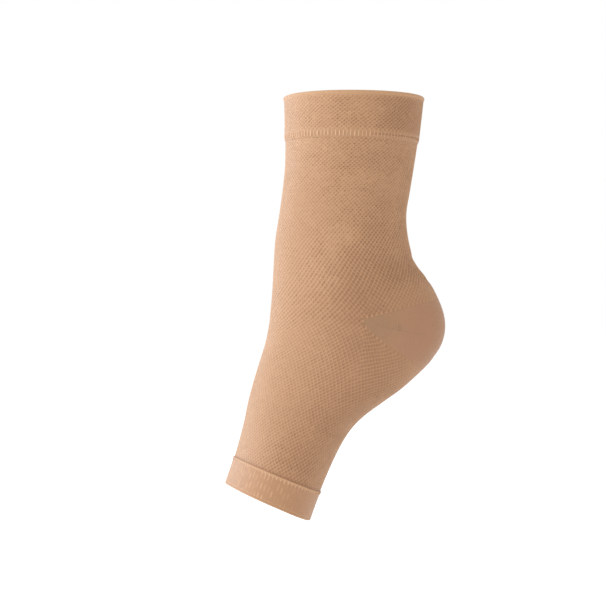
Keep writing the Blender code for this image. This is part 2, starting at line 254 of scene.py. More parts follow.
def leg_or_foot(rows, angles, skipped):
    """Points of courses on one side of the heel: each curve of the tables, read at the row,
    goes through the formula of a loop at the angle. Skipped is the heel's rows at the back."""
    back_rows = rows + skipped
    return loop(
        spline(SIDE, rows), spline(FRONT, rows), spline(BACK, back_rows),
        spline(HALF_WIDTH, rows), spline(FRONT_FULL, rows), spline(BACK_FULL, back_rows),
        spline(BACK_BOW, back_rows), spline(SKEW, rows), angles)


def courses(rows, angles):
    """Points of courses. Between the two gores, where only the front half is knitted, they
    are a straight blend: upper gore + (row - its row) x (lower gore - upper gore)."""
    rows, angles = np.broadcast_arrays(np.asarray(rows, float), np.asarray(angles, float))
    leg = leg_or_foot(np.minimum(rows, UPPER_GORE), angles, 0)
    foot = leg_or_foot(np.maximum(rows, LOWER_GORE), angles, len(HEEL_FAN))
    return leg + np.clip(rows - UPPER_GORE, 0, 1)[..., None] * (foot - leg)


def pocket(turns, angles):
    """Points of the heel pocket: turn 0 is the upper gore and 1 the lower, and the back
    halves in between fan out from the short side line at the tip."""
    turns, angles = np.broadcast_arrays(np.asarray(turns, float), np.asarray(angles, float))
    back_rows = UPPER_GORE + turns * (len(HEEL_FAN) + 1)
    side = SIDE[UPPER_GORE] + turns[..., None] * (SIDE[LOWER_GORE] - SIDE[UPPER_GORE])
    return loop(
        side, side, spline(BACK, back_rows), HALF_WIDTH[UPPER_GORE], 0.0,
        spline(BACK_FULL, back_rows), spline(BACK_BOW, back_rows), np.zeros_like(turns), angles)


toe_edge = courses(MOUTH, np.linspace(0, 2 * np.pi, 9))
print(f"The foot opening is {np.ptp(toe_edge[:, 1]) / MM:.1f} mm wide")

# %% [markdown]
# Every relief below, from a pit of the mesh to the fold of the welt, is a height above this
# surface, so the surface also needs its outward direction. Two small steps, one down the row
# and one along the course, span a facet, and their cross product stands on it. The leg looks
# up for its step and the foot looks down, so that neither looks into the heel pocket.

# %% Outward directions
SMALL_STEP = 1e-4


def normals_of(surface, rows, angles, row_step):
    """Outward unit normals: (step down the row) x (step along the course)."""
    down = (surface(rows + row_step, angles) - surface(rows, angles)) / row_step
    along = surface(rows, angles + SMALL_STEP) - surface(rows, angles - SMALL_STEP)
    return unit(np.cross(down, along))


def course_normals(rows, angles):
    """Outward unit normals of the leg's and the foot's courses."""
    rows, angles = np.broadcast_arrays(np.asarray(rows, float), np.asarray(angles, float))
    up = normals_of(courses, rows, angles, -SMALL_STEP)
    down = normals_of(courses, rows, angles, SMALL_STEP)
    return np.where((rows <= UPPER_GORE)[..., None], up, down)


def raised(rows, angles, heights):
    """Points of the courses, moved outwards by heights in metres."""
    return courses(rows, angles) + np.asarray(heights)[..., None] * course_normals(rows, angles)


print("Outwards at the front of the top edge:", np.round(course_normals(0.0, 0.0), 2))

# %% [markdown]
# ## The gauge of the knit
#
# The dots of the mesh are counted on the real brace: 92 round a course, each two needles wide,
# and staggered by half in the next course. Courses lie 1.1 mm apart at the calf, and about
# 1.7 mm where the ankle and the instep stretch them. Stitches share the length of a course
# evenly, so an even step in angle would be wrong on an oval: the angles are read back from the
# measured length. Only at the heel is a needle tied to a place, because the pocket takes 43 of
# each 92 dots.

# %% Stitches round and down
DOTS_ROUND = 92
NEEDLES = 2 * DOTS_ROUND
BACK_START, BACK_END = 49, 135  # needles at the two side lines, where the heel pocket starts
COURSE_HEIGHTS = (  # row of the tables, height of a course in mm
    (0.0, 1.08), (3.0, 1.10), (4.5, 1.20), (5.7, 1.38), (7.0, 1.66),
    (8.2, 1.66), (10.0, 1.62), (11.9, 1.76), (13.6, 1.69), (15.0, 1.50), (17.0, 1.44),
)
MEASURING_STEPS = 400  # along the side line
ROUND_STEPS = 240  # round a course, a multiple of four so that the side line is a step
TIED_ROWS = 0.8  # rows of the tables over which the needles drift to their place at the heel


def read(table, x):
    """A table of pairs, read at x along straight lines from pair to pair."""
    return np.interp(x, *np.transpose(table))


def side_lengths(start, end):
    """Rows from one row to another, and the length of the side line up to each."""
    rows = np.linspace(start, end, MEASURING_STEPS)
    steps = np.linalg.norm(np.diff(spline(SIDE, rows), axis=0), axis=1)
    return rows, np.concatenate([[0], np.cumsum(steps)])


def row_at(start, end, distances):
    """Rows at distances along the side line from one row towards another."""
    rows, lengths = side_lengths(start, end)
    return np.interp(distances, lengths, rows)


def knitted_rows(start, end):
    """Rows of the courses: the side line's length over the course height, added up and cut
    at whole courses."""
    rows, lengths = side_lengths(start, end)
    counted = np.diff(lengths) / (read(COURSE_HEIGHTS, (rows[1:] + rows[:-1]) / 2) * MM)
    counted = np.concatenate([[0], np.cumsum(counted)])
    return np.interp(np.linspace(0, counted[-1], round(counted[-1]) + 1), counted, rows)


def even_angles(rows, count=NEEDLES):
    """Angles that divide every course into equal lengths, but near the gores are drawn so
    that the needles where the heel starts fall on the side lines."""
    rows = np.asarray(rows, float)
    fine = np.linspace(0, 2 * np.pi, ROUND_STEPS + 1)
    steps = np.linalg.norm(np.diff(courses(rows[:, None], fine), axis=1), axis=2)
    lengths = np.concatenate([np.zeros((len(rows), 1)), np.cumsum(steps, axis=1)], axis=1)
    shares = lengths / lengths[:, -1:]
    from_gores = np.maximum(UPPER_GORE - rows, rows - LOWER_GORE)
    tied = np.clip(1 - np.clip(from_gores, 0, None) / TIED_ROWS, 0, 1) ** 2
    side = BACK_START / NEEDLES
    side_share = side + tied * (shares[:, ROUND_STEPS // 4] - side)
    wanted = np.arange(count) / count
    marks = [0, side, 0.5, 1 - side, 1]
    return np.stack([
        np.interp(np.interp(wanted, marks, [0, s, 0.5, 1 - s, 1]), share, fine)
        for s, share in zip(side_share, shares)])


def around(rows, count=NEEDLES):
    """Rows as a column and the even angles round each of them."""
    return np.asarray(rows)[:, None], even_angles(rows, count)


print(f"A needle at the ankle is {ANKLE_GIRTH / NEEDLES / MM:.2f} mm wide")

# %% [markdown]
# Worn on a bent ankle, the courses don't follow the rows of the tables exactly. From the side
# line they lean up towards the front of the instep, most of all level with the heel, so that
# they cross the foot squarely soon below it. The courses between the gores lie close at the
# tip of the heel, but an elastic knit evens out in front of it. So there each distance to the
# next course becomes the mean of its neighbours' distances. The surface stays the same: only
# the places of the stitches on it are moved.

# %% Lean of the courses over the instep
LEAN = (  # distance down the side line in mm, rise of the course at the front in mm
    (60.0, 0.0), (105.0, 2.3), (125.0, 6.0), (145.0, 8.2), (175.0, 7.0), (215.0, 3.0),
    (240.0, 0.0))
AVERAGED = 5  # courses on each side that take part in a mean
AVERAGING_PASSES = 3
EVENED = (1, 0.0, 0.3)  # the front, from the side line on, all of it from this cosine on


def leaning(rows, angles):
    """Rows at which the courses cross each angle: the side line's distance less the lean,
    times the cosine of the angle in front."""
    table_rows, lengths = side_lengths(0, MOUTH)
    distances = np.interp(rows, table_rows, lengths)
    rise = read(LEAN, distances / MM) * MM
    distances = distances - rise * np.clip(np.cos(angles), 0, 1)
    return np.interp(distances, lengths, table_rows)


def evened(rows, angles):
    """Rows moved along each needle in front. The distances between courses are replaced by
    running means and added up, and rows are read back where the old sum equals the new. The
    means are left as sums, because the last line but two brings them to the old length."""
    gaps = np.linalg.norm(np.diff(courses(rows, angles), axis=0), axis=2)
    sums = np.cumsum(np.pad(gaps, ((AVERAGED + 1, AVERAGED), (0, 0)), mode="edge"), axis=0)
    means = sums[2 * AVERAGED + 1:] - sums[:-2 * AVERAGED - 1]
    old, new = (np.cumsum(np.pad(g, ((1, 0), (0, 0))), axis=0) for g in (gaps, means))
    new = new * old[-1] / new[-1]
    even = np.stack([np.interp(n, o, r) for n, o, r in zip(new.T, old.T, rows.T)], axis=1)
    return rows + facing(angles, *EVENED) * (even - rows)


def course_places(rows):
    """The row of every course at every needle, and the angles of the needles."""
    column, angles = around(rows)
    places = leaning(column + 0 * angles, angles)
    for _ in range(AVERAGING_PASSES):
        places = evened(places, angles)
    return places, angles


print(f"Most lean: {max(rise for _, rise in LEAN)} mm")

# %% [markdown]
# ## Meshes from arrays
#
# Every knitted piece is a grid of courses and needles that closes on itself both ways: down
# the outer face, round the edge and back up the inner face. A helper puts such arrays into a
# mesh. It keeps a UV map counted in needles and courses, so that a material can draw stitches,
# and an attribute, pit, with a tone for each point: on most pieces it is painted shade, deepest
# in the pits of the mesh.

# %% Put arrays into a mesh
SHARP_ANGLE = np.radians(75)


def knit_object(name, points, uv, pit, faces, wrap, material):
    """An object from points, a UV and a tone for each, which is mostly painted shade, and faces
    grouped by size. Wrap is the u at which a course closes, so that no face runs back from the
    last u to the first."""
    used, index = np.unique(np.concatenate([f.ravel() for f in faces]), return_inverse=True)
    sizes = np.concatenate([np.full(len(f), f.shape[1]) for f in faces])
    corners = [uv[f] for f in faces]
    for corner in corners:
        u = corner[..., 0]
        u += wrap * (u.max(axis=1, keepdims=True) - u > wrap / 2)
    mesh = bpy.data.meshes.new(name)
    mesh.vertices.add(len(used))
    mesh.vertices.foreach_set("co", points[used].astype(np.float32).ravel())
    mesh.loops.add(len(index))
    mesh.loops.foreach_set("vertex_index", index.ravel().astype(np.int32))
    mesh.polygons.add(len(sizes))
    mesh.polygons.foreach_set("loop_start", (np.cumsum(sizes) - sizes).astype(np.int32))
    mesh.update(calc_edges=True)
    flat = np.concatenate([corner.reshape(-1, 2) for corner in corners])
    mesh.uv_layers.new(name="stitches").data.foreach_set("uv", flat.astype(np.float32).ravel())
    layer = mesh.attributes.new("pit", "FLOAT", "POINT")
    layer.data.foreach_set("value", pit[used].astype(np.float32))
    mesh.shade_smooth()
    mesh.set_sharp_from_angle(angle=SHARP_ANGLE)
    mesh.materials.append(material)
    piece = bpy.data.objects.new(name, mesh)
    bpy.context.scene.collection.objects.link(piece)
    print(f"{name}: {int((sizes - 2).sum())} triangles, closed: {is_closed(mesh)}")
    return piece


def is_closed(mesh):
    """True if two faces meet at every edge."""
    edges = np.empty(len(mesh.loops), np.int32)
    mesh.loops.foreach_get("edge_index", edges)
    return bool((np.bincount(edges) == 2).all())


def ring_quads(rows, columns, first=0):
    """Quads between successive rows of point numbers on closed courses. First is the number
    of the first point, or of the first point of each of several rings, as a column."""
    start = first + np.arange(rows - 1)[:, None] * columns
    here, after = start + np.arange(columns), start + (np.arange(columns) + 1) % columns
    return np.stack([here, here + columns, after + columns, after], axis=-1).reshape(-1, 4)


print(f"Edges sharper than {np.degrees(SHARP_ANGLE):.0f} degrees stay sharp")

# %% [markdown]
# ## Colours and finishes
#
# The yarn is a matt nylon wound round elastane, dyed tan. Such yarn has almost no gloss, but
# its fibres stand out as a fine fuzz that whitens wherever the cloth turns away from the eye.
# The Principled shader's sheen is made for that. Colours are typed as sRGB hex, as a colour
# picker shows them, and one function turns them to the linear values that the shader takes.

# %% Colours and nodes
def linear(hex_colour):
    """Linear RGBA from sRGB hex: ((c + 0.055) / 1.055) ** 2.4, and c / 12.92 when dark."""
    c = np.array([int(hex_colour[k:k + 2], 16) / 255 for k in (1, 3, 5)])
    values = np.where(c <= 0.04045, c / 12.92, ((c + 0.055) / 1.055) ** 2.4)
    return (*map(float, values), 1.0)


def add(tree, kind, settings, *inputs):
    """A node with its settings and inputs: pairs of a socket's name or number and its value,
    which is a number, a colour, another node's output, or a node for its first output."""
    node = tree.nodes.new(kind)
    for name, value in settings.items():
        setattr(node, name, value)
    for socket, value in inputs:
        if isinstance(value, bpy.types.Node):
            value = value.outputs[0]
        if isinstance(value, bpy.types.NodeSocket):
            tree.links.new(value, node.inputs[socket])
        else:
            node.inputs[socket].default_value = value
    return node


def set_inputs(node, values):
    """Sets a node's inputs from a dictionary of socket names and values."""
    for socket, value in values.items():
        node.inputs[socket].default_value = value


TAN, TAN_SHADE = "#b48963", "#936948"  # the yarn's own colour, and the painted shade down in the pits
print("Tan yarn in linear light:", np.round(linear(TAN)[:3], 3))

# %% [markdown]
# The stitches themselves are too small for geometry: a loop of this yarn is half a millimetre
# thick. They are drawn as bump from the UV map, which counts needles and courses. Each needle
# carries a column of V shapes, so the height is a wave down the course, slanted by the
# distance from the middle of the needle. A fine noise on top stands for the fibres.

# %% Relief of the stitches
FIBRE_SIZE = 0.35 * MM  # coarser than a real fibre, which no camera at this distance shows
STITCH_RELIEF = 0.1 * MM
MATH, NOISE = "ShaderNodeMath", "ShaderNodeTexNoise"


def stitch_relief(tree, stitch, fibres):
    """Height of the stitches: sin(2 pi x (v x stitch + leg)) x sin(2 pi x leg) + fibres, where
    leg is how far u x stitch lies from the middle of its needle, from 0 to 1/2."""
    counted = add(tree, "ShaderNodeUVMap", {"uv_map": "stitches"})
    split = add(tree, "ShaderNodeSeparateXYZ", {}, (0, counted))
    wide = add(tree, MATH, {"operation": "MULTIPLY"}, (0, split.outputs["X"]), (1, stitch))
    part = add(tree, MATH, {"operation": "FRACT"}, (0, wide))
    off_middle = add(tree, MATH, {"operation": "SUBTRACT"}, (0, part), (1, 0.5))
    leg = add(tree, MATH, {"operation": "ABSOLUTE"}, (0, off_middle))
    slant = add(tree, MATH, {"operation": "MULTIPLY_ADD"},
                (0, split.outputs["Y"]), (1, stitch), (2, leg))
    slant_turn = add(tree, MATH, {"operation": "MULTIPLY"}, (0, slant), (1, 2 * np.pi))
    loops = add(tree, MATH, {"operation": "SINE"}, (0, slant_turn))
    leg_turn = add(tree, MATH, {"operation": "MULTIPLY"}, (0, leg), (1, 2 * np.pi))
    wale = add(tree, MATH, {"operation": "SINE"}, (0, leg_turn))
    return add(tree, MATH, {"operation": "MULTIPLY_ADD"}, (0, loops), (1, wale), (2, fibres))


print(f"Stitches stand out by {STITCH_RELIEF / MM:.1f} mm, fibres are {FIBRE_SIZE / MM:.2f} mm")

# %% [markdown]
# Dyed yarn is never quite one tone. A fibre is lighter where it catches the light, and the
# knit is lighter where it is stretched more. A fine and a slow noise stand for that. Down in
# the pits of the mesh the yarn takes the darker of two colours, as painted shade.

# %% Tone of the yarn
BLOTCH_SIZE = 14 * MM  # from one lighter place of the knit to the next
FIBRE_TONE, BLOTCH_TONE = 0.09, 0.06  # how much each changes the tone, from dark to light


def yarn_colour(tree, yarn, shade, where, fibres):
    """The two colours, mixed by the attribute pit, which holds painted shade on most pieces,
    times 1 + tone x (noise - 1/2) for each of the two noises."""
    blotch = add(tree, NOISE, {}, ("Vector", where), ("Scale", 1 / BLOTCH_SIZE), ("Detail", 3.0))
    slow = add(tree, MATH, {"operation": "MULTIPLY_ADD"},
               (0, blotch), (1, BLOTCH_TONE), (2, 1 - BLOTCH_TONE / 2))
    fine = add(tree, MATH, {"operation": "MULTIPLY_ADD"},
               (0, fibres), (1, FIBRE_TONE), (2, 1 - FIBRE_TONE / 2))
    tone = add(tree, MATH, {"operation": "MULTIPLY"}, (0, slow), (1, fine))
    pit = add(tree, "ShaderNodeAttribute", {"attribute_name": "pit"}).outputs["Fac"]
    mixed = add(tree, "ShaderNodeMix", {"data_type": "RGBA"},  # its inputs 6 and 7 are colours
                (0, pit), (6, linear(yarn)), (7, linear(shade)))
    return add(tree, "ShaderNodeVectorMath", {"operation": "SCALE"},
               (0, mixed.outputs[2]), ("Scale", tone))


print(f"The tone changes every {BLOTCH_SIZE / MM:.0f} mm")

# %% [markdown]
# All five finishes are the same matt yarn, knitted in different ways. They differ in the size
# of the stitches, in how strongly these stand out, and a little in colour. The plain heel is
# knitted densest and looks browner, and the stitches that join pieces lie on top and get a
# lighter colour, as painted light.

# %% Finishes of the knits
NYLON = {  # wide weak highlights, and a fuzz that pales the knit towards its outline
    "Roughness": 0.65, "IOR": 1.5, "Specular IOR Level": 0.5,
    "Sheen Weight": 0.14, "Sheen Roughness": 0.4, "Sheen Tint": linear("#fff0e2")}


def knit_material(name, yarn, shade, stitch, bump):
    """A knit of one yarn: its own colour and the colour of the painted shade in the pits, how
    many stitches lie in a unit of the UV map, and how strongly they stand out."""
    material = bpy.data.materials.new(name)
    material.use_nodes = True
    tree = material.node_tree
    shader = tree.nodes["Principled BSDF"]
    where = add(tree, "ShaderNodeTexCoord", {}).outputs["Object"]
    fibres = add(tree, NOISE, {}, ("Vector", where), ("Scale", 1 / FIBRE_SIZE), ("Detail", 2.0))
    relief = stitch_relief(tree, stitch, fibres)
    pushed = add(tree, "ShaderNodeBump", {},
                 ("Strength", bump), ("Distance", STITCH_RELIEF), ("Height", relief))
    colour = yarn_colour(tree, yarn, shade, where, fibres)
    tree.links.new(colour.outputs[0], shader.inputs["Base Color"])
    tree.links.new(pushed.outputs["Normal"], shader.inputs["Normal"])
    set_inputs(shader, NYLON)
    return material


# Tan and dotted with painted shade in the pits, one layer of it and two.
mesh_knit = knit_material("Nylon and elastane mesh knit", TAN, TAN_SHADE, 2, 0.5)
welt_knit = knit_material("Doubled mesh knit", TAN, TAN_SHADE, 2, 0.5)
# Smooth and browner, darkest at its tips. The second colour is that of its back.
heel_knit = knit_material("Plain nylon knit", "#8b6748", "#996f50", 1, 0.6)
# Raised ribs in the yarn's colour, with painted shade on the ground between them.
ribbed_knit = knit_material("Ribbed elastic knit", "#b28762", TAN_SHADE, 1, 0.5)
# Painted light: a shade lighter than the knit that it joins, as loops on top catch the light, so
# that each loop shows by itself.
stitch_yarn = knit_material("Linking yarn", "#bd9573", TAN_SHADE, 1, 0.4)
finishes = (mesh_knit, welt_knit, heel_knit, ribbed_knit, stitch_yarn)
print("Finishes:", ", ".join(material.name for material in finishes))

# %% [markdown]
# ## Depth of the mesh's pits
#
# The dotted mesh is a net of raised diagonal yarns round small pits. An elastic knit is never
# quite regular: its pits open where the ankle stretches them, are drawn shallow where the knit
# is tight over the shin and the instep, and change a little from patch to patch and from dot
# to dot. The first and last courses have none, so that the edges are plain.

# %% How deep each pit is
PIT_DEPTH = 0.26 * MM
PIT_OPENING = (  # row of the tables, share of the depth
    (0.0, 0.92), (5.0, 1.0), (7.2, 1.35), (9.6, 1.35), (11.5, 0.9), (17.0, 0.85))
TIGHT_FRONT = (  # row of the tables, share of the depth that the pits lose over shin and instep
    (3.5, 0.22), (6.0, 0.42), (10.0, 0.42), (12.5, 0.26))
SHIN = (1, 0.05, 0.6)  # the front, from this cosine on, and how much more to its full effect
PATCH_COURSES, PATCH_NEEDLES = 6, 8  # size of a patch
PATCH_CHANGE, DOT_CHANGE = 0.18, 0.12  # spread of the depth from patch to patch, dot to dot
LEAST_DEPTH, MOST_DEPTH = 0.3, 1.5  # both as shares of PIT_DEPTH
random = np.random.default_rng(7)


def slow_patches(count):
    """Random values on a coarse grid, drawn out to all courses and needles along straight
    lines: first down between its rows, then across between its columns."""
    patches = random.normal(size=(count // PATCH_COURSES + 3, NEEDLES // PATCH_NEEDLES))
    down = np.linspace(0, len(patches) - 1.001, count)  # stays just above the last row
    across = np.arange(NEEDLES) / PATCH_NEEDLES
    low, left = down.astype(int), across.astype(int)
    right = (left + 1) % patches.shape[1]
    soft = patches[low] + (down - low)[:, None] * (patches[low + 1] - patches[low])
    return soft[:, left] + (across - left) * (soft[:, right] - soft[:, left])


def pit_depths(rows, fade_courses):
    """How deep each point would be as a pit: even x opening x (1 - tight x front), where even
    is 1 plus the changes from patch to patch and from dot to dot."""
    count = len(rows)
    even = 1 + PATCH_CHANGE * slow_patches(count)
    even = even + DOT_CHANGE * random.normal(size=(count, NEEDLES))
    from_end = np.minimum(np.arange(count), np.arange(count)[::-1])
    opening = read(PIT_OPENING, rows) * np.clip(from_end / fade_courses, 0, 1)
    front = read(TIGHT_FRONT, rows)[:, None] * facing(even_angles(rows), *SHIN)
    return np.clip(even, LEAST_DEPTH, MOST_DEPTH) * opening[:, None] * (1 - front)


print(f"Pits are about {PIT_DEPTH / MM:.2f} mm deep")

# %% [markdown]
# ## A field of pits
#
# On the grid of needles and courses every second point is the floor of a pit, and the points
# between are the knots of the net. On the way to each knot the pit has its rim. The yarns that
# rise to the right lie on top of the others, so the pits are slanted the same way.

# %% Points of a field of pits
RIM_AT = 0.56  # share of the way from a pit to its knots
RIM_DEPTH = 0.75  # share of the pit's depth at the rim
RIM_SLANT = 0.11  # how far a rim moves, in needles or courses, so that pits lie along a slant
KNOT_RISE = 0.06 * MM
AVERAGE_PIT_SHADE = 0.4  # the painted shade that the mesh has on average, given also where the knit is plain
PLAIN_RATE = 1.2  # how fast that painted shade goes as the pits deepen


def pitted_field(rows, depths, shade, surface):
    """Points, UVs and tones of a field of pits; the tones are painted shade. First come the
    corners of the grid, then the rims on the courses, then the rims between courses.
    Surface(rows, angles, heights) gives the points. At a rim the angle or the row lies RIM_AT of
    the way from pit to knot, and the other of the two is moved by RIM_SLANT. Shade, more painted
    shade, is added to the tone of each corner."""
    places, angles = course_places(rows)
    lines, needles = np.indices(angles.shape)
    is_knot = (lines + needles) % 2
    share = np.where(is_knot, 1 - RIM_AT, RIM_AT)
    slant = RIM_SLANT * np.where(is_knot, 1, -1)
    slant[0] = slant[-1] = 0
    to_next = np.diff(angles, axis=1, append=angles[:, :1] + 2 * np.pi)
    next_places, next_depths = np.roll(places, -1, axis=1), np.roll(depths, -1, axis=1)
    u = [needles, needles + share, needles[:-1]]
    v = [lines, lines, (lines + share)[:-1]]
    row = [places,
           places + share * (next_places - places) + slant * np.gradient(places, axis=0),
           places[:-1] + share[:-1] * np.diff(places, axis=0)]
    angle = [angles, angles + share * to_next,
             angles[:-1] + share[:-1] * np.diff(angles, axis=0) + (slant * to_next)[:-1]]
    rise = [KNOT_RISE * is_knot, 0, 0]
    depth = [np.where(is_knot, 0, depths),
             RIM_DEPTH * np.where(is_knot, next_depths, depths),
             RIM_DEPTH * np.where(is_knot[:-1], depths[1:], depths[:-1])]
    near = [depths, np.maximum(depths, next_depths), np.maximum(depths[1:], depths[:-1])]
    points = [surface(row[k], angle[k], rise[k] - PIT_DEPTH * depth[k]).reshape(-1, 3)
              for k in range(3)]
    uv = [np.stack([u[k], v[k]], axis=-1).reshape(-1, 2) for k in range(3)]
    tone = [depth[k] + AVERAGE_PIT_SHADE * np.clip(1 - PLAIN_RATE * near[k], 0, 1) + shade[:len(near[k])]
            for k in range(3)]
    return np.concatenate(points), np.concatenate(uv), np.concatenate(tone, axis=None)


PIT_WIDTH = 2 * RIM_AT * ANKLE_GIRTH / NEEDLES
print(f"A pit at the ankle is about {PIT_WIDTH / MM:.1f} mm wide")

# %% [markdown]
# A cell of the grid holds a quarter of two pits in six triangles, which is about as little as
# shows a round dot. The sleeve and the welt use this field, each with its own gaps and edges.

# %% Faces of a field of pits
def pitted_faces(count, cell_rows, cell_columns):
    """Faces of the cells at these rows and columns. Going round a cell's four corners and the
    rims between them, each pit has a triangle with its rims and a quad on to the knots."""
    size = count * NEEDLES
    after = (cell_columns + 1) % NEEDLES
    here, below = cell_rows * NEEDLES, (cell_rows + 1) * NEEDLES
    corners = np.stack([here + cell_columns, below + cell_columns, below + after, here + after])
    rims = np.stack([2 * size + here + cell_columns, size + below + cell_columns,
                     2 * size + here + after, size + here + cell_columns])
    cells = np.arange(len(cell_rows))
    triangles, quads = [], []
    for turn in (0, 2):
        pit = ((cell_rows + cell_columns) % 2 + turn) % 4
        before, ahead = corners[(pit - 1) % 4, cells], corners[(pit + 1) % 4, cells]
        rim_in, rim_out = rims[(pit - 1) % 4, cells], rims[pit, cells]
        triangles.append(np.stack([rim_in, corners[pit, cells], rim_out], axis=1))
        quads.append(np.stack([before, rim_in, rim_out, ahead], axis=1))
    return np.concatenate(triangles), np.concatenate(quads)


one_cell = pitted_faces(2, np.array([0]), np.array([0]))
print(f"A cell has {len(one_cell[0])} triangles and {len(one_cell[1])} quads")

# %% [markdown]
# ## The sleeve
#
# The mesh knit is one tube from the welt down to the band, with a gap at the back that the
# heel pocket fills. Its wall is 1.1 mm thick. The outer face carries the pits. The inner face,
# which lies against the skin, is plain and needs only every sixth course. The faces that join
# the two run round both ends and round the heel's gap.

# %% Rows of the sleeve
TOP_CUFF_HEIGHT, FOOT_CUFF_HEIGHT = 25.0 * MM, 17.0 * MM
CLEARANCE = 0.3 * MM
sleeve_top = row_at(0, UPPER_GORE, TOP_CUFF_HEIGHT + CLEARANCE)
sleeve_end = row_at(MOUTH, LOWER_GORE, FOOT_CUFF_HEIGHT + CLEARANCE)
leg_rows = knitted_rows(sleeve_top, UPPER_GORE)
foot_rows = knitted_rows(LOWER_GORE, sleeve_end)
sleeve_rows = np.concatenate([leg_rows, [(UPPER_GORE + LOWER_GORE) / 2], foot_rows])
sleeve_lines = np.arange(len(sleeve_rows))
gore_up, gore_low = len(leg_rows) - 1, len(leg_rows) + 1
print(f"{gore_up} courses down the leg and {len(foot_rows) - 1} down the foot")

# %% [markdown]
# Above the heel the stretched knit has two faint folds, where the foot bends back. They are
# shallow valleys across the back, as a bell curve of the height above or below each fold.

# %% The sleeve's surface
FOLDS = (  # height, depth and reach
    (13.5 * MM, 0.5 * MM, 2.4 * MM), (0.5 * MM, 0.45 * MM, 2.2 * MM))


def sleeve_surface(rows, angles, heights):
    """The courses, lowered at the folds by depth x bell(z) x cos(angle)^2 at the back."""
    points, normals = courses(rows, angles), course_normals(rows, angles)
    share = np.clip(-np.cos(angles), 0, 1) ** 2 * (rows <= UPPER_GORE)
    for height, depth, reach in FOLDS:
        heights = heights - depth * share * bell(points[..., 2], height, reach)
    return points + heights[..., None] * normals


print(f"{len(FOLDS)} folds behind the ankle")

# %% [markdown]
# Right above and below the heel pocket the knit is pulled flat, so its pits fade there. Along
# the sides of the heel and the foot painted shade makes the tone a little deeper. The last
# courses get a painted shadow of the band's lip.

# %% Depth and tone of the sleeve
SLEEVE_FADE = 1.2  # courses over which the pits begin at the sleeve's two ends
HEEL_FADE = 16  # courses or needles over which they open again beside the heel
FADED = 0.7  # share of their depth that they lose beside the heel
SIDE_SHADE_TONE = (  # row of the tables, how much painted shade deepens the tone at the sides
    (6.0, 0.0), (7.5, 0.25), (9.0, 0.48), (10.5, 0.48), (13.0, 0.38), (17.0, 0.20))
OFF_FRONT = (-1, -0.95, 1.1)  # from near the front on, and all of it from just behind the side
BACK_LOSS = 0.6  # share of that painted shade that goes again towards the back
LIP_SHADOW, LIP_COURSES = 0.9, 1.4  # tone of the painted shadow, and the courses over which it fades


def sleeve_depths():
    """Depths of the sleeve's pits, less those beside the heel and without those of the gap."""
    from_gore = np.minimum(abs(sleeve_lines - gore_up), abs(sleeve_lines - gore_low))[:, None]
    behind_tip = np.minimum(np.arange(NEEDLES) - BACK_START, BACK_END - np.arange(NEEDLES))
    closed = smooth_step(behind_tip / HEEL_FADE) * (1 - smooth_step(from_gore / HEEL_FADE))
    at_gap = (sleeve_lines >= gore_up) & (sleeve_lines <= gore_low)
    depths = pit_depths(sleeve_rows, SLEEVE_FADE)
    return depths * (1 - FADED * closed) * ~(at_gap[:, None] & (behind_tip >= 0))


def painted_side_shade():
    """Painted shade at the sides of the heel and the foot, and the painted shadow of the band's
    lip.
    """
    angles = even_angles(sleeve_rows)
    behind = np.clip(-np.cos(angles), 0, 1) ** 2
    at_side = facing(angles, *OFF_FRONT) * (1 - BACK_LOSS * behind)
    lip = LIP_SHADOW * np.clip(1 - sleeve_lines[::-1] / LIP_COURSES, 0, 1)
    return read(SIDE_SHADE_TONE, sleeve_rows)[:, None] * at_side + lip[:, None]


print(f"Deepest extra tone: {painted_side_shade().max():.2f}")

# %% [markdown]
# The points of the lining are numbered after those of the pitted face. A hem is an edge
# where a course of pits, with the rims between its corners, meets the same course inside.

# %% The lining and the hems
INNER_STEP = 6
SLEEVE_WALL = 1.1 * MM
inner_lines = np.unique(np.concatenate([
    np.arange(0, gore_up, INNER_STEP), [gore_up, gore_up + 1, gore_low],
    np.arange(gore_low, sleeve_lines[-1], INNER_STEP), sleeve_lines[-1:]]))
outer_size = len(sleeve_rows) * NEEDLES
outer_points = 3 * outer_size - NEEDLES  # corners, rims on the courses, rims between them


def open_cells(lines):
    """Places in the list of lines, and columns, of the cells outside the heel's gap."""
    place, columns = np.meshgrid(np.arange(len(lines) - 1), np.arange(NEEDLES), indexing="ij")
    beside = (lines[place] >= gore_up) & (lines[place] < gore_low)
    kept = ~(beside & (columns >= BACK_START) & (columns < BACK_END))
    return place[kept], columns[kept]


def lined(line, column):
    """The number of the lining's point at a course and a needle."""
    return outer_points + np.searchsorted(inner_lines, line) * NEEDLES + column % NEEDLES


def lining_faces():
    """Quads between the lining's courses."""
    place, columns = open_cells(inner_lines)
    top, low = inner_lines[place], inner_lines[place + 1]
    return np.stack([lined(top, columns), lined(top, columns + 1),
                     lined(low, columns + 1), lined(low, columns)], axis=1)


def hem(line, columns, above):
    """The edge along a course: two corners with their rim, and two points of the lining."""
    a, b = line * NEEDLES + columns, line * NEEDLES + (columns + 1) % NEEDLES
    edge = [a, outer_size + a, b, lined(line, columns + 1), lined(line, columns)]
    return np.stack(edge if above else edge[::-1], axis=1)


def side_hem(column, forward):
    """The short edge along a needle at the tip of the heel's gap."""
    lines = np.arange(gore_up, gore_low)
    a = lines * NEEDLES + column
    edge = [a, 2 * outer_size + a, a + NEEDLES, lined(lines + 1, column), lined(lines, column)]
    return np.stack(edge if forward else edge[::-1], axis=1)


print(f"The lining has {len(inner_lines)} courses, the outer face {len(sleeve_rows)}")
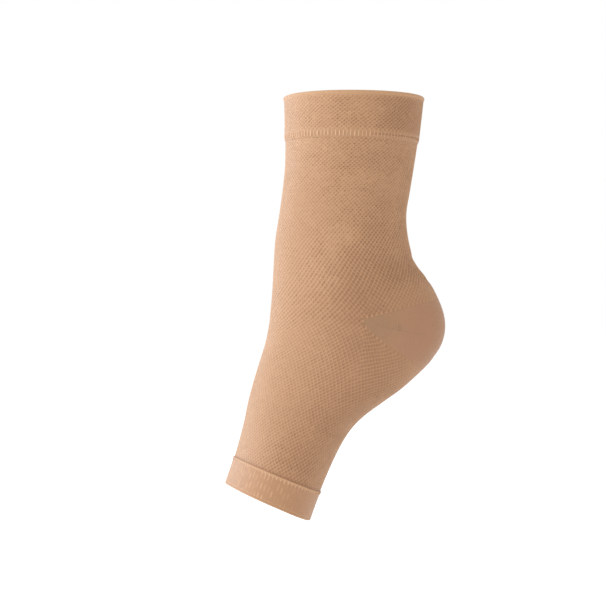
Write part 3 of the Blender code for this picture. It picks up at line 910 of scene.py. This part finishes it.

# %% [markdown]
# Now the sleeve is put together as one closed mesh. Its lining has no pits, so it gets the
# mesh's average painted pit shade.

# %% The sleeve
def knit_sleeve():
    """The field of pits outside and the plain lining inside, joined by hems all round."""
    points, uv, pit = pitted_field(sleeve_rows, sleeve_depths(), painted_side_shade(), sleeve_surface)
    triangles, quads = pitted_faces(len(sleeve_rows), *open_cells(sleeve_lines))
    rows, angles = (values[inner_lines] for values in course_places(sleeve_rows))
    inner = sleeve_surface(rows, angles, np.full(angles.shape, -SLEEVE_WALL))
    inner_uv = np.stack(np.meshgrid(np.arange(NEEDLES), inner_lines), axis=-1)
    points = np.concatenate([points, inner.reshape(-1, 3)])
    uv = np.concatenate([uv, inner_uv.reshape(-1, 2)])
    pit = np.concatenate([pit, np.full(rows.size, AVERAGE_PIT_SHADE)])
    needles, behind = np.arange(NEEDLES), np.arange(BACK_START, BACK_END)
    hems = np.concatenate([
        hem(0, needles, True), hem(sleeve_lines[-1], needles, False),
        hem(gore_up, behind, False), hem(gore_low, behind, True),
        side_hem(BACK_START, True), side_hem(BACK_END, False)])
    return knit_object("mesh_sleeve", points, uv, pit, [triangles, quads, lining_faces(), hems],
                       NEEDLES, mesh_knit)


mesh_sleeve = knit_sleeve()

# %% [markdown]
# ## The welt
#
# The top edge is a turned welt: the tube is knitted twice as long there, folded inwards and
# linked to itself. So it is double, it stands 0.6 mm proud of the sleeve, and its fold is a
# soft round lip. The shape is a profile of distance below the edge and height above the knit,
# carried round every course. The mesh covers the flat part of it, and the rest is plain.

# %% Profiles carried round the courses
def plain_rows(profile, from_row, to_row):
    """Rows and heights of a profile in mm: distances are measured down the side line."""
    distances, heights = np.transpose(profile) * MM
    return row_at(from_row, to_row, distances), heights


def arc(centre, radii, start, end, steps):
    """Points of an elliptic arc, in degrees, without its two ends."""
    turn = np.radians(np.linspace(start, end, steps + 2)[1:-1])
    return [(centre[0] + radii[0] * np.cos(t), centre[1] + radii[1] * np.sin(t)) for t in turn]


WELT_FACE = (2.6, 23.0)  # from below the fold down to the linking, in mm below the edge
WELT_LINKING = [  # distance below the top edge, height above the knit, in mm
    (23.4, 0.60), (23.9, 0.60), (24.4, 0.58), (24.9, 0.55), (25.5, 0.49), (26.1, 0.41),
    (26.7, 0.30), (27.1, 0.20), (27.35, 0.09), (27.42, -0.03), (27.3, -0.15), (26.8, -0.2),
    (25.7, -0.2), (25.2, -0.22), (25.0, -0.35), (24.95, -0.7), (24.7, -1.02), (24.3, -1.1)]
WELT_LINING = [(s, -1.1) for s in np.arange(23.0, 2.0, -2.0)]
FOLD_RADII = (1.05, 1.08)  # down the leg and outwards, in mm
WELT_FOLD = (
    [(FOLD_RADII[0], -1.1)] + arc((FOLD_RADII[0], -0.02), FOLD_RADII, 270, 90, 9)
    + [(FOLD_RADII[0], 1.06), (1.5, 1.0), (1.9, 0.84), (2.2, 0.68), (2.4, 0.64)])
WELT_PLAIN = WELT_LINKING + WELT_LINING + WELT_FOLD
print(f"The plain part of the welt has {len(WELT_PLAIN)} points")

# %% [markdown]
# At the back of the leg the linking is pulled into a crease. The welt gets a little painted
# shade behind, and so do the linking all round and the crease. The crease is a bell curve
# down the profile.

# %% The welt
WELT_ABOVE = 0.62 * MM
WELT_FADE = 1.5  # courses over which the pits begin at the fold and at the linking
BEHIND_SHADE, WELT_BEHIND = 0.25, (-1, 0.2, 0.5)  # painted shade: how much deeper, and the side that has it
LINKING_SHADE, LINKING_FROM, LINKING_OVER = 0.45, 22.8, 0.8  # painted shade at the linking: how much, from and over which, in mm
CREASE_DEPTH, CREASE_AT, CREASE_REACH = 0.3 * MM, 24.65, 0.45  # place and reach in mm
CREASED = (-1, 0.1, 0.3)  # the side where the crease is
SEEN_ABOVE = 0.1 * MM  # what lies higher in the profile is seen from outside


def knit_welt():
    """The field of pits on the face, and the plain profile from the linking up the inside and
    over the fold, which meets the field at both its ends."""
    start, end = row_at(0, UPPER_GORE, np.array(WELT_FACE) * MM)
    face_rows = knitted_rows(start, end)
    count = len(face_rows)
    points, uv, pit = pitted_field(
        face_rows, pit_depths(face_rows, WELT_FADE),
        BEHIND_SHADE * facing(even_angles(face_rows), *WELT_BEHIND),
        lambda rows, angles, heights: raised(rows, angles, heights + WELT_ABOVE))
    triangles, quads = pitted_faces(count, *np.indices((count - 1, NEEDLES)).reshape(2, -1))

    rows, heights = plain_rows(WELT_PLAIN, 0, UPPER_GORE)
    column, angles = around(rows)
    distances, heights = np.transpose(WELT_PLAIN)[0][:, None], heights[:, None]
    outside = heights > SEEN_ABOVE
    crease = facing(angles, *CREASED) * bell(distances, CREASE_AT, CREASE_REACH) * outside
    plain = raised(column, angles, heights - CREASE_DEPTH * crease)
    shaded = LINKING_SHADE * smooth_step((distances - LINKING_FROM) / LINKING_OVER) * outside
    needles = np.arange(NEEDLES)
    plain_uv = np.stack(np.meshgrid(needles, count + np.arange(len(rows))), axis=-1)

    first, size, after = len(points), count * NEEDLES, (needles + 1) % NEEDLES
    low, last = size - NEEDLES, first + (len(rows) - 1) * NEEDLES
    under = np.stack([low + needles, first + needles, first + after, low + after,
                      size + low + needles], axis=1)
    over = np.stack([last + needles, needles, size + needles, after, last + after], axis=1)
    faces = [triangles, quads, ring_quads(len(rows), NEEDLES, first), under, over]
    points = np.concatenate([points, plain.reshape(-1, 3)])
    uv = np.concatenate([uv, plain_uv.reshape(-1, 2)])
    # The plain part's tone is painted shade at the linking and in the crease.
    pit = np.concatenate([pit, np.maximum(shaded, crease).ravel()])
    return knit_object("turned_welt", points, uv, pit, faces, NEEDLES, welt_knit)


turned_welt = knit_welt()

# %% [markdown]
# ## Linking stitches
#
# The welt is closed by a round of long loops, a little closer than the dots, that lie side by
# side like small grains. They are few enough to model: each is a short strand with round ends.
# A strand is a ring of points carried along a short path on the cloth, with the cloth's own
# outward direction as its up, and all strands are worked out as one array.

# %% Strands that lie on the cloth
STRAND_SIDES = 8
STRAND_END = 0.985  # place of the first and last ring, as a share of half the length


def strands(name, paths, normals, across, up, material):
    """Closed strands. Each ring is across x cos(t) sideways plus up x sin(t) outwards from
    the path, where sideways is the path's direction x the cloth's outward direction."""
    along = unit(np.gradient(paths, axis=1))
    sideways = unit(np.cross(along, normals))
    outwards = np.cross(sideways, along)
    turn = np.arange(STRAND_SIDES) * 2 * np.pi / STRAND_SIDES
    ring = (across[..., None, None] * np.cos(turn)[:, None] * sideways[..., None, :]
            + up[..., None, None] * np.sin(turn)[:, None] * outwards[..., None, :])
    points = paths[..., None, :] + ring
    count, steps = paths.shape[:2]
    first = np.arange(count)[:, None, None] * steps * STRAND_SIDES
    cap = first[:, :, 0] + np.arange(STRAND_SIDES)
    end = cap[:, ::-1] + (steps - 1) * STRAND_SIDES
    u, v = np.meshgrid(np.arange(STRAND_SIDES) / STRAND_SIDES, np.arange(steps))
    uv = np.broadcast_to(np.stack([u, v], axis=-1), (count, steps, STRAND_SIDES, 2))
    return knit_object(name, points.reshape(-1, 3), uv.reshape(-1, 2),
                       np.zeros(points[..., 0].size),
                       [ring_quads(steps, STRAND_SIDES, first), cap, end], 1.0, material)


def round_ends(steps):
    """A strand's thickness along its length: sqrt(1 - x^4), full in the middle and almost
    nothing at the ends."""
    return np.sqrt(1 - np.linspace(-STRAND_END, STRAND_END, steps) ** 4)


def stitch_row(name, marks, steps, from_row, to_row, turns, thickness, thinned, size):
    """Strands side by side across a join. Each runs evenly through the marks, turned from its
    needle by turns, and is thickness x (1 - loss x how much it faces the thinned side) thick."""
    distances = np.linspace(marks[0][0], marks[-1][0], steps)
    profile = np.stack([distances, read(marks, distances)], axis=1)
    rows, heights = plain_rows(profile, from_row, to_row)
    column, angles = around(rows, len(thickness))
    angles = angles + turns
    paths = raised(column, angles, heights[:, None] + 0 * angles).transpose(1, 0, 2)
    normals = course_normals(column, angles).transpose(1, 0, 2)
    loss, *side = thinned
    thickness = round_ends(steps) * thickness * (1 - loss * facing(angles[0], *side))[:, None]
    across, up = size
    return strands(name, paths, normals, across * thickness, up * thickness, stitch_yarn)


print(f"Thickness at the end of a strand: {round_ends(9)[0]:.2f} of the middle")

# %% [markdown]
# The loops of the welt stand a little out of step and aren't equally thick. At the back of
# the leg, where the linking is creased, they are drawn thin.

# %% Linking stitches of the welt
LOOPS_ROUND = 110
LOOP_MARKS = (  # distance below the top edge, height above the knit, in mm
    (22.9, 0.50), (23.6, 0.60), (24.8, 0.58), (25.8, 0.46), (26.6, 0.30))
LOOP_STEPS = 9
LOOP_STRAY = 0.12 * np.pi / LOOPS_ROUND  # how far the loops stand from their even places
LOOP_CHANGE, LOOP_LIMITS = 0.22, (0.5, 1.4)  # spread of their thickness, and its limits
LOOP_THINNED = (0.5, -1, 0.0, 0.4)  # loss, and the side that loses it
LOOP_SIZE = (0.42 * MM, 0.3 * MM)  # half their width and height
linking_stitches = stitch_row(
    "linking_stitches", LOOP_MARKS, LOOP_STEPS, 0, UPPER_GORE,
    LOOP_STRAY * random.normal(size=LOOPS_ROUND),
    np.clip(1 + LOOP_CHANGE * random.normal(size=(LOOPS_ROUND, 1)), *LOOP_LIMITS),
    LOOP_THINNED, LOOP_SIZE)

# %% [markdown]
# ## The heel pocket
#
# The heel is plain knit, worked to and fro in short rows. The rows run with the upper gore
# above and with the lower gore below, and meet on a faint line in the middle of each side. No
# seam shows at the gores, only the change of knit, so the edge of the pocket laps over the
# sleeve's and then dives into its wall. The rows of the grid lie close together at the gores,
# where the edge is shaped, and evenly between them.

# %% The pocket's grid
HEEL_ROWS = 70
HEEL_HEIGHT = 0.05  # mm above the knit of the sleeve
TONGUE = 0.6  # mm that the edge reaches past the gore, into the sleeve's wall
EDGE_STEPS = np.array([  # distance inside the gore, height of the outer and inner face, in mm
    (-TONGUE, -0.25, -0.80), (-0.30, 0.04, -0.95), (0.08, 0.05, -1.10),
    (0.50, HEEL_HEIGHT, -1.10)])


def heel_lengths(angles):
    """Length of the pocket from gore to gore at each angle, in mm."""
    fine = np.linspace(0, 1, MEASURING_STEPS)[:, None]
    return np.linalg.norm(np.diff(pocket(fine, angles), axis=0), axis=2).sum(axis=0) / MM


def heel_turns(lengths):
    """Turns of the rows: the edge's distances over the length at both gores, even between."""
    edge = EDGE_STEPS[:, :1] / lengths
    share = np.linspace(0, 1, HEEL_ROWS)[1:-1, None]
    return np.concatenate([edge, edge[-1] + share * (1 - 2 * edge[-1]), 1 - edge[::-1]])


heel_angles = even_angles([UPPER_GORE], 2 * NEEDLES)[0, 2 * BACK_START:2 * BACK_END + 1]
lengths = heel_lengths(heel_angles)
turns = heel_turns(lengths)
print(f"The pocket is {lengths.max():.0f} mm long at the back, in {turns.shape[1]} columns")

# %% [markdown]
# The columns of plain stitches stand out a little, some more than others, and show best a
# short way behind the tip. The heel's brown is deepest at its tips and grows lighter towards
# the back.

# %% Relief and tone of the pocket
TIP_EDGE = 0.1  # mm inside the gore that the very tip counts as
WALE_RISE, WALES_FROM = 0.07, 1.5  # mm that the columns stand out, and mm over which they begin
WALE_MEAN, WALE_SPREAD = 0.6, 0.5  # of the random share to which each column stands out
MIDDLE_RISE, MIDDLE_REACH = 0.14, 0.5  # the line where the short rows meet, in mm
LINE_SEEN = ((5, 0), (11, 1), (36, 1), (44, 0))  # mm from the tip, how much of the line shows
TIP_SHADE = 30.0  # mm from the tip over which the brown grows lighter
STITCHES_SEEN = (19.0, 6.0, 0.42, 0.12)  # mm from the tip with its reach, turn with its reach
LINE_TONE, WALE_TONE = 0.4, 0.8  # how much the line is darker, and the columns differ


def heel_relief():
    """Heights of the outer and the inner face in mm, tone, and mm inside the gore. To the
    edge's steps come the middle line's bell and every second column."""
    inside = np.minimum(turns, 1 - turns) * lengths
    steps = np.linalg.norm(np.diff(pocket(0.5, heel_angles), axis=0), axis=1) / MM
    along = np.concatenate([[0], np.cumsum(steps)])
    from_tip = np.minimum(along, along[-1] - along)[None]
    distance = np.minimum(inside, from_tip + TIP_EDGE)
    outer, inner = (np.interp(distance, EDGE_STEPS[:, 0], EDGE_STEPS[:, k]) for k in (1, 2))
    line = bell((turns - 0.5) * lengths, 0, MIDDLE_REACH) * read(LINE_SEEN, from_tip)
    count = len(heel_angles)
    wales = smooth_step(WALE_MEAN + WALE_SPREAD * random.normal(size=count))
    wales = wales * (np.arange(count) % 2)
    outer = outer + MIDDLE_RISE * line + WALE_RISE * wales * smooth_step(inside / WALES_FROM)
    at_tip, tip_reach, at_turn, turn_reach = STITCHES_SEEN
    seen = bell(from_tip, at_tip, tip_reach) * bell(turns, at_turn, turn_reach)
    tone = smooth_step(from_tip / TIP_SHADE) - LINE_TONE * line
    tone = tone + WALE_TONE * seen * (2 * wales - 1)
    return outer, inner, np.clip(tone, 0, 1), inside


print(f"The line in the middle stands {MIDDLE_RISE} mm out, the columns {WALE_RISE} mm")

# %% [markdown]
# The grid is a patch, so its outer and inner faces are joined by four strips. At each tip two
# more columns take the edge's shape forwards, over the sleeve and into it.

# %% The pocket
TIP_COLUMNS = (  # column, step of the edge, and the two columns whose line it continues
    (0, 0, 2, 3), (1, 1, 2, 3), (-1, 0, -3, -4), (-2, 1, -3, -4))


def with_tips(values):
    """Two more columns at each tip, for the lap over the sleeve."""
    return np.concatenate([values[:, [0, 0]], values, values[:, [-1, -1]]], axis=1)


def walled_patch(rows, columns):
    """Faces of a patch: its outer side, its inner side turned round, and strips between."""
    size = rows * columns
    here = np.arange(rows - 1)[:, None] * columns + np.arange(columns - 1)
    front = np.stack([here, here + columns, here + columns + 1, here + 1], axis=-1).reshape(-1, 4)
    top, left = np.arange(columns - 1), np.arange(rows - 1) * columns
    low, right = top + (rows - 1) * columns, left + columns - 1
    return [
        front, front[:, ::-1] + size,
        np.stack([top, top + 1, top + 1 + size, top + size], axis=1),
        np.stack([low, low + size, low + 1 + size, low + 1], axis=1),
        np.stack([left + columns, left, left + size, left + columns + size], axis=1),
        np.stack([right, right + columns, right + columns + size, right + size], axis=1)]


def knit_heel():
    """The pocket's surface, moved outwards to both faces. A tip's column lies ahead of the
    first real one by the edge's distance, along the line through the first two."""
    place = with_tips(pocket(turns, heel_angles[None]))
    normals = with_tips(normals_of(pocket, turns, heel_angles[None], SMALL_STEP))
    outer, inner, tone, inside = (with_tips(values) for values in heel_relief())
    for column, step, first, second in TIP_COLUMNS:
        forward = unit(place[:, first] - place[:, second])
        place[:, column] -= EDGE_STEPS[step, 0] * MM * forward
        outer[:, column] = np.minimum(outer[:, column], EDGE_STEPS[step, 1])
    points = np.concatenate([
        (place + height[..., None] * MM * normals).reshape(-1, 3) for height in (outer, inner)])
    u = np.broadcast_to(np.arange(outer.shape[1]) / 2, outer.shape)
    uv = np.stack([u, inside], axis=-1).reshape(-1, 2)
    return knit_object("plain_heel", points, np.concatenate([uv, uv]), np.tile(tone.ravel(), 2),
                       walled_patch(*outer.shape), 4 * NEEDLES, heel_knit)


plain_heel = knit_heel()

# %% [markdown]
# ## The band
#
# The foot ends in a narrow elastic band of tight ribs. Each rib is a long raised line, broken
# here and there and out of step with its neighbours. The band's top edge is a soft lip that
# stands proud of the mesh and hides its end, and its lower edge is rolled. It is again a
# profile carried round the courses, with six points to a rib, so that the ribs are real relief.

# %% Profile of the band
BAND_LIP = [  # distance above the lower edge, height above the knit, in mm
    (17.1, 0.02), (17.45, 0.03), (17.62, 0.14), (17.66, 0.30), (17.55, 0.48), (17.3, 0.59),
    (16.95, 0.62), (16.6, 0.57), (16.3, 0.49), (16.0, 0.43)]
BAND_FACE = [(s, 0.4) for s in np.arange(15.6, 1.5, -0.45)]
BAND_ROLL = [
    (1.35, 0.38), (1.2, 0.33), (1.02, 0.33), (0.85, 0.44), (0.62, 0.52), (0.4, 0.54),
    (0.2, 0.48), (0.05, 0.32), (0.0, 0.1), (0.0, -0.35), (0.08, -0.7), (0.25, -0.95),
    (0.5, -1.1)]
BAND_LINING = [(s, -1.1) for s in np.arange(2.5, 16.0, 2.0)] + [
    (16.7, -1.1), (16.93, -1.0), (17.0, -0.7), (17.0, -0.25), (17.0, -0.05)]
BAND_PROFILE = BAND_LIP + BAND_FACE + BAND_ROLL + BAND_LINING
print(f"The band's profile has {len(BAND_PROFILE)} points")

# %% [markdown]
# A broken line is a wave up the rib whose tops and bottoms are cut off, so that long full
# stretches are left, and short gaps. Each line starts at a place of its own.

# %% Lines on the ribs
RIB_POINTS = 6
RIB_WIDTH = 0.19  # in ribs
RIB_RISE, RIB_BASE = 0.16 * MM, 0.15  # height of a line, and the share that runs on in its gaps
RIBBED = (1.4, 0.8, 16.4, 0.6)  # mm where the ribs begin and over which, end and over which
LINE_PERIOD = 6.2  # mm from gap to gap
LINE_STRAY, MOST_STRAY = 0.35, 0.7  # how far lines are out of step, in periods
LINE_MEAN, LINE_SWING = 0.75, 0.9  # of the wave, which is cut off at 0 and 1
LINE_STRENGTH, STRENGTH_CHANGE = 0.75, 0.4  # mean height of the lines, and its spread
STRENGTH_LIMITS = (0.1, 1.4)
LEFT_BEHIND, BAND_FRONT = 0.3, (1, -0.55, 0.5)  # towards the sole the lines are pulled flat


def broken_lines(distance, angles, number):
    """Height of the lines: strength x (mean - swing x cos(2 pi x place)), where the place
    counts periods up the rib, and each line has its own start and strength."""
    stray = np.clip(LINE_STRAY * random.normal(size=DOTS_ROUND), -MOST_STRAY, MOST_STRAY)
    place = distance / LINE_PERIOD + (number % 2 * 0.5 + stray[number])
    lines = int(FOOT_CUFF_HEIGHT / MM / LINE_PERIOD) + 4
    change = random.normal(size=(lines, DOTS_ROUND))[(place + 1).astype(int), number]
    strength = np.clip(LINE_STRENGTH + STRENGTH_CHANGE * change, *STRENGTH_LIMITS)
    strength = strength * (LEFT_BEHIND + (1 - LEFT_BEHIND) * facing(angles, *BAND_FRONT))
    return strength * np.clip(LINE_MEAN - LINE_SWING * np.cos(2 * np.pi * place), 0, 1)


print(f"{DOTS_ROUND} ribs with a gap about every {LINE_PERIOD} mm")

# %% [markdown]
# The ground between the lines gets painted shade, and so do the places under the lip and
# over the rolled edge.

# %% The band
RIB_GROUND_SHADE = 0.6  # painted shade of the ground between the lines
LIP_SHADE = (17.4, 0.3)  # place and reach of the painted shade under the lip, in mm
ROLL_TONE, ROLL_SHADE = 0.9, (1.12, 0.25)  # how dark, and place and reach, of the painted shade in the groove over the rolled edge


def knit_band():
    """The profile carried round, raised by bell(across the rib) x (base + line) on the ribbed
    part, and closed from its last row to its first."""
    rows, heights = plain_rows(BAND_PROFILE, MOUTH, LOWER_GORE)
    columns = RIB_POINTS * DOTS_ROUND
    column, angles = around(rows, columns)
    distance, height = np.transpose(BAND_PROFILE)[..., None]
    across = np.arange(columns) / RIB_POINTS
    rib = bell(across % 1, 0.5, RIB_WIDTH)
    line = broken_lines(distance, angles, across.astype(int))
    low, low_over, high, high_over = RIBBED
    ribbed = np.clip((distance - low) / low_over, 0, 1) * (height > 0)
    ribbed = ribbed * np.clip((high - distance) / high_over, 0, 1)
    relief = RIB_RISE * rib * (RIB_BASE + line) * ribbed
    points = raised(column, angles, heights[:, None] + relief)
    uv = np.stack(np.meshgrid(across, np.arange(len(rows)) * 0.5), axis=-1)
    shades = bell(distance, *LIP_SHADE) * (height < 0.5) + ROLL_TONE * bell(distance, *ROLL_SHADE)
    pit = RIB_GROUND_SHADE * ribbed * (1 - rib * line) + shades * (height > 0)
    last, here = (len(rows) - 1) * columns, np.arange(columns)
    after = (here + 1) % columns
    closing = np.stack([last + here, here, after, last + after], axis=1)
    return knit_object("ribbed_band", points.reshape(-1, 3), uv.reshape(-1, 2), pit.ravel(),
                       [ring_quads(len(rows), columns), closing], DOTS_ROUND, ribbed_knit)


ribbed_band = knit_band()

# %% [markdown]
# The lip of the band is bound by a row of short stitches, one to a rib. In front, where the
# band is stretched most, they are pulled flat.

# %% Edge stitches of the band
BIND_MARKS = (  # distance above the lower edge, height above the knit, in mm
    (15.0, 0.36), (16.3, 0.58), (17.0, 0.74), (17.35, 0.66))
BIND_STEPS = 7
BIND_CHANGE = 0.12  # spread of their thickness
BIND_THINNED = (0.6, 1, 0.1, 0.5)  # loss, and the side that loses it
BIND_SIZE = (0.34 * MM, 0.16 * MM)  # half their width and height
band_stitches = stitch_row(
    "band_stitches", BIND_MARKS, BIND_STEPS, MOUTH, LOWER_GORE, np.pi / DOTS_ROUND,
    1 + BIND_CHANGE * random.normal(size=(DOTS_ROUND, 1)), BIND_THINNED, BIND_SIZE)

# %% [markdown]
# ## Put the pieces in place of the solids
#
# The brace has no joint, so every piece rides on the one body. Each knitted piece stands for
# the solid whose form it has, and that solid is hidden.

# %% Bodies and solids
for piece, slot, nodes in (
        (mesh_sleeve, "mesh_knit", ["ankle_sleeve"]),
        (turned_welt, "welt_knit", ["top_cuff"]),
        (linking_stitches, "welt_knit", []),
        (plain_heel, "heel_knit", ["heel_pocket"]),
        (ribbed_band, "ribbed_knit", ["foot_cuff"]),
        (band_stitches, "ribbed_knit", [])):
    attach(piece, "root")
    if nodes:
        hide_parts(*nodes)
print("All four solids are replaced")

# %% [markdown]
# ## Floor, light and camera
#
# The brace is shown in the form that it has when it is worn, held at the ankle above a pale
# floor. The floor is seen through from below, so that a view of the sole isn't blocked.

# %% Floor
FLOOR_HEIGHT = -177 * MM
FLOOR_RADIUS, FLOOR_CORNERS = 7.0, 64
MATT_WHITE = {  # like painted board: no gloss, and a faint light of its own that keeps it white
    "Base Color": linear("#ffffff"), "Roughness": 0.9, "Specular IOR Level": 0.1,
    "Emission Color": linear("#ffffff"), "Emission Strength": 0.05}


def lay_floor():
    """A flat disc, its corners at equal turns on a circle, which is clear from below."""
    mesh = bpy.data.meshes.new("floor")
    turn = np.arange(FLOOR_CORNERS) * 2 * np.pi / FLOOR_CORNERS
    rim = np.stack([np.cos(turn), np.sin(turn), 0 * turn], axis=1) * FLOOR_RADIUS
    rim[:, 2] = FLOOR_HEIGHT
    mesh.from_pydata(rim.tolist(), [], [list(range(FLOOR_CORNERS))])
    material = bpy.data.materials.new("Matt white studio floor")
    material.use_nodes = True
    tree = material.node_tree
    shader, output = tree.nodes["Principled BSDF"], tree.nodes["Material Output"]
    set_inputs(shader, MATT_WHITE)
    below = add(tree, "ShaderNodeNewGeometry", {}).outputs["Backfacing"]
    clear = add(tree, "ShaderNodeBsdfTransparent", {})
    mix = add(tree, "ShaderNodeMixShader", {}, (0, below), (1, shader), (2, clear))
    tree.links.new(mix.outputs[0], output.inputs["Surface"])
    mesh.materials.append(material)
    floor = bpy.data.objects.new("floor", mesh)
    bpy.context.scene.collection.objects.link(floor)
    return floor


floor = lay_floor()
print(f"Floor {-FLOOR_HEIGHT / MM:.0f} mm below the ankle")

# %% [markdown]
# The light is that of a white studio: white from all around, with one large soft light from
# the front and the toes' side, a cool one behind it that whitens the shin's edge, and a weak
# warm one from the heel's side.

# %% Light
LIGHTS = (  # name, place and width in metres, power in watts, colour
    ("key", (-1.25, -0.9, 0.75), 1.3, 16.0, "#f4fbff"),
    ("rim", (-1.3, 0.45, 0.3), 1.5, 21.0, "#cfe4ff"),
    ("fill", (1.2, 0.25, -0.05), 0.4, 1.2, "#ffcfa8"))
LIT_PLACE = (0, 0, -0.02)


def aim(thing, target):
    """Turns a light or a camera so that its -Z axis points at the target."""
    away = bpy.context.scene.cursor.location.copy()
    away[:] = [t - p for t, p in zip(target, thing.location)]
    thing.rotation_euler = away.to_track_quat("-Z", "Y").to_euler()


def soft_light(name, location, width, power, colour):
    """A round area light that points at the brace."""
    lamp = bpy.data.lights.new(name, "AREA")
    lamp.shape, lamp.size = "DISK", width
    lamp.energy, lamp.color = power, linear(colour)[:3]
    light = bpy.data.objects.new(name, lamp)
    light.location = location
    aim(light, LIT_PLACE)
    bpy.context.scene.collection.objects.link(light)


world = bpy.data.worlds.new("White studio")
world.use_nodes = True
set_inputs(world.node_tree.nodes["Background"], {"Color": (1, 1, 1, 1), "Strength": 1.0})
bpy.context.scene.world = world
for light in LIGHTS:
    soft_light(*light)
bpy.context.scene.view_settings.view_transform = "Standard"
print("White all around and soft lights:", ", ".join(light[0] for light in LIGHTS))

# %% [markdown]
# The camera looks level at the inner side of the foot, from a metre away. At that distance
# the nearer half of the top edge shows as a low arch, as it does on the real brace.

# %% Camera
CAMERA_DISTANCE = 1.0
CAMERA_CENTRE = (-25.5 * MM, -13.5 * MM)  # x and z of the middle of the picture
FRAME_WIDTH = 363.6 * MM  # what the picture shows at the ankle
SENSOR_WIDTH = 36.0  # mm, as in a full-frame camera
camera_data = bpy.data.cameras.new("camera")
camera_data.sensor_fit = "HORIZONTAL"
camera_data.sensor_width = SENSOR_WIDTH
camera_data.lens = SENSOR_WIDTH * CAMERA_DISTANCE / FRAME_WIDTH
camera = bpy.data.objects.new("camera", camera_data)
camera.location = (CAMERA_CENTRE[0], -CAMERA_DISTANCE, CAMERA_CENTRE[1])
camera.rotation_euler = (np.pi / 2, 0, 0)
bpy.context.scene.collection.objects.link(camera)
bpy.context.scene.camera = camera
print(f"Lens {camera_data.lens:.1f} mm")

# %% [markdown]

# %% Finish
bpy.context.view_layer.update()
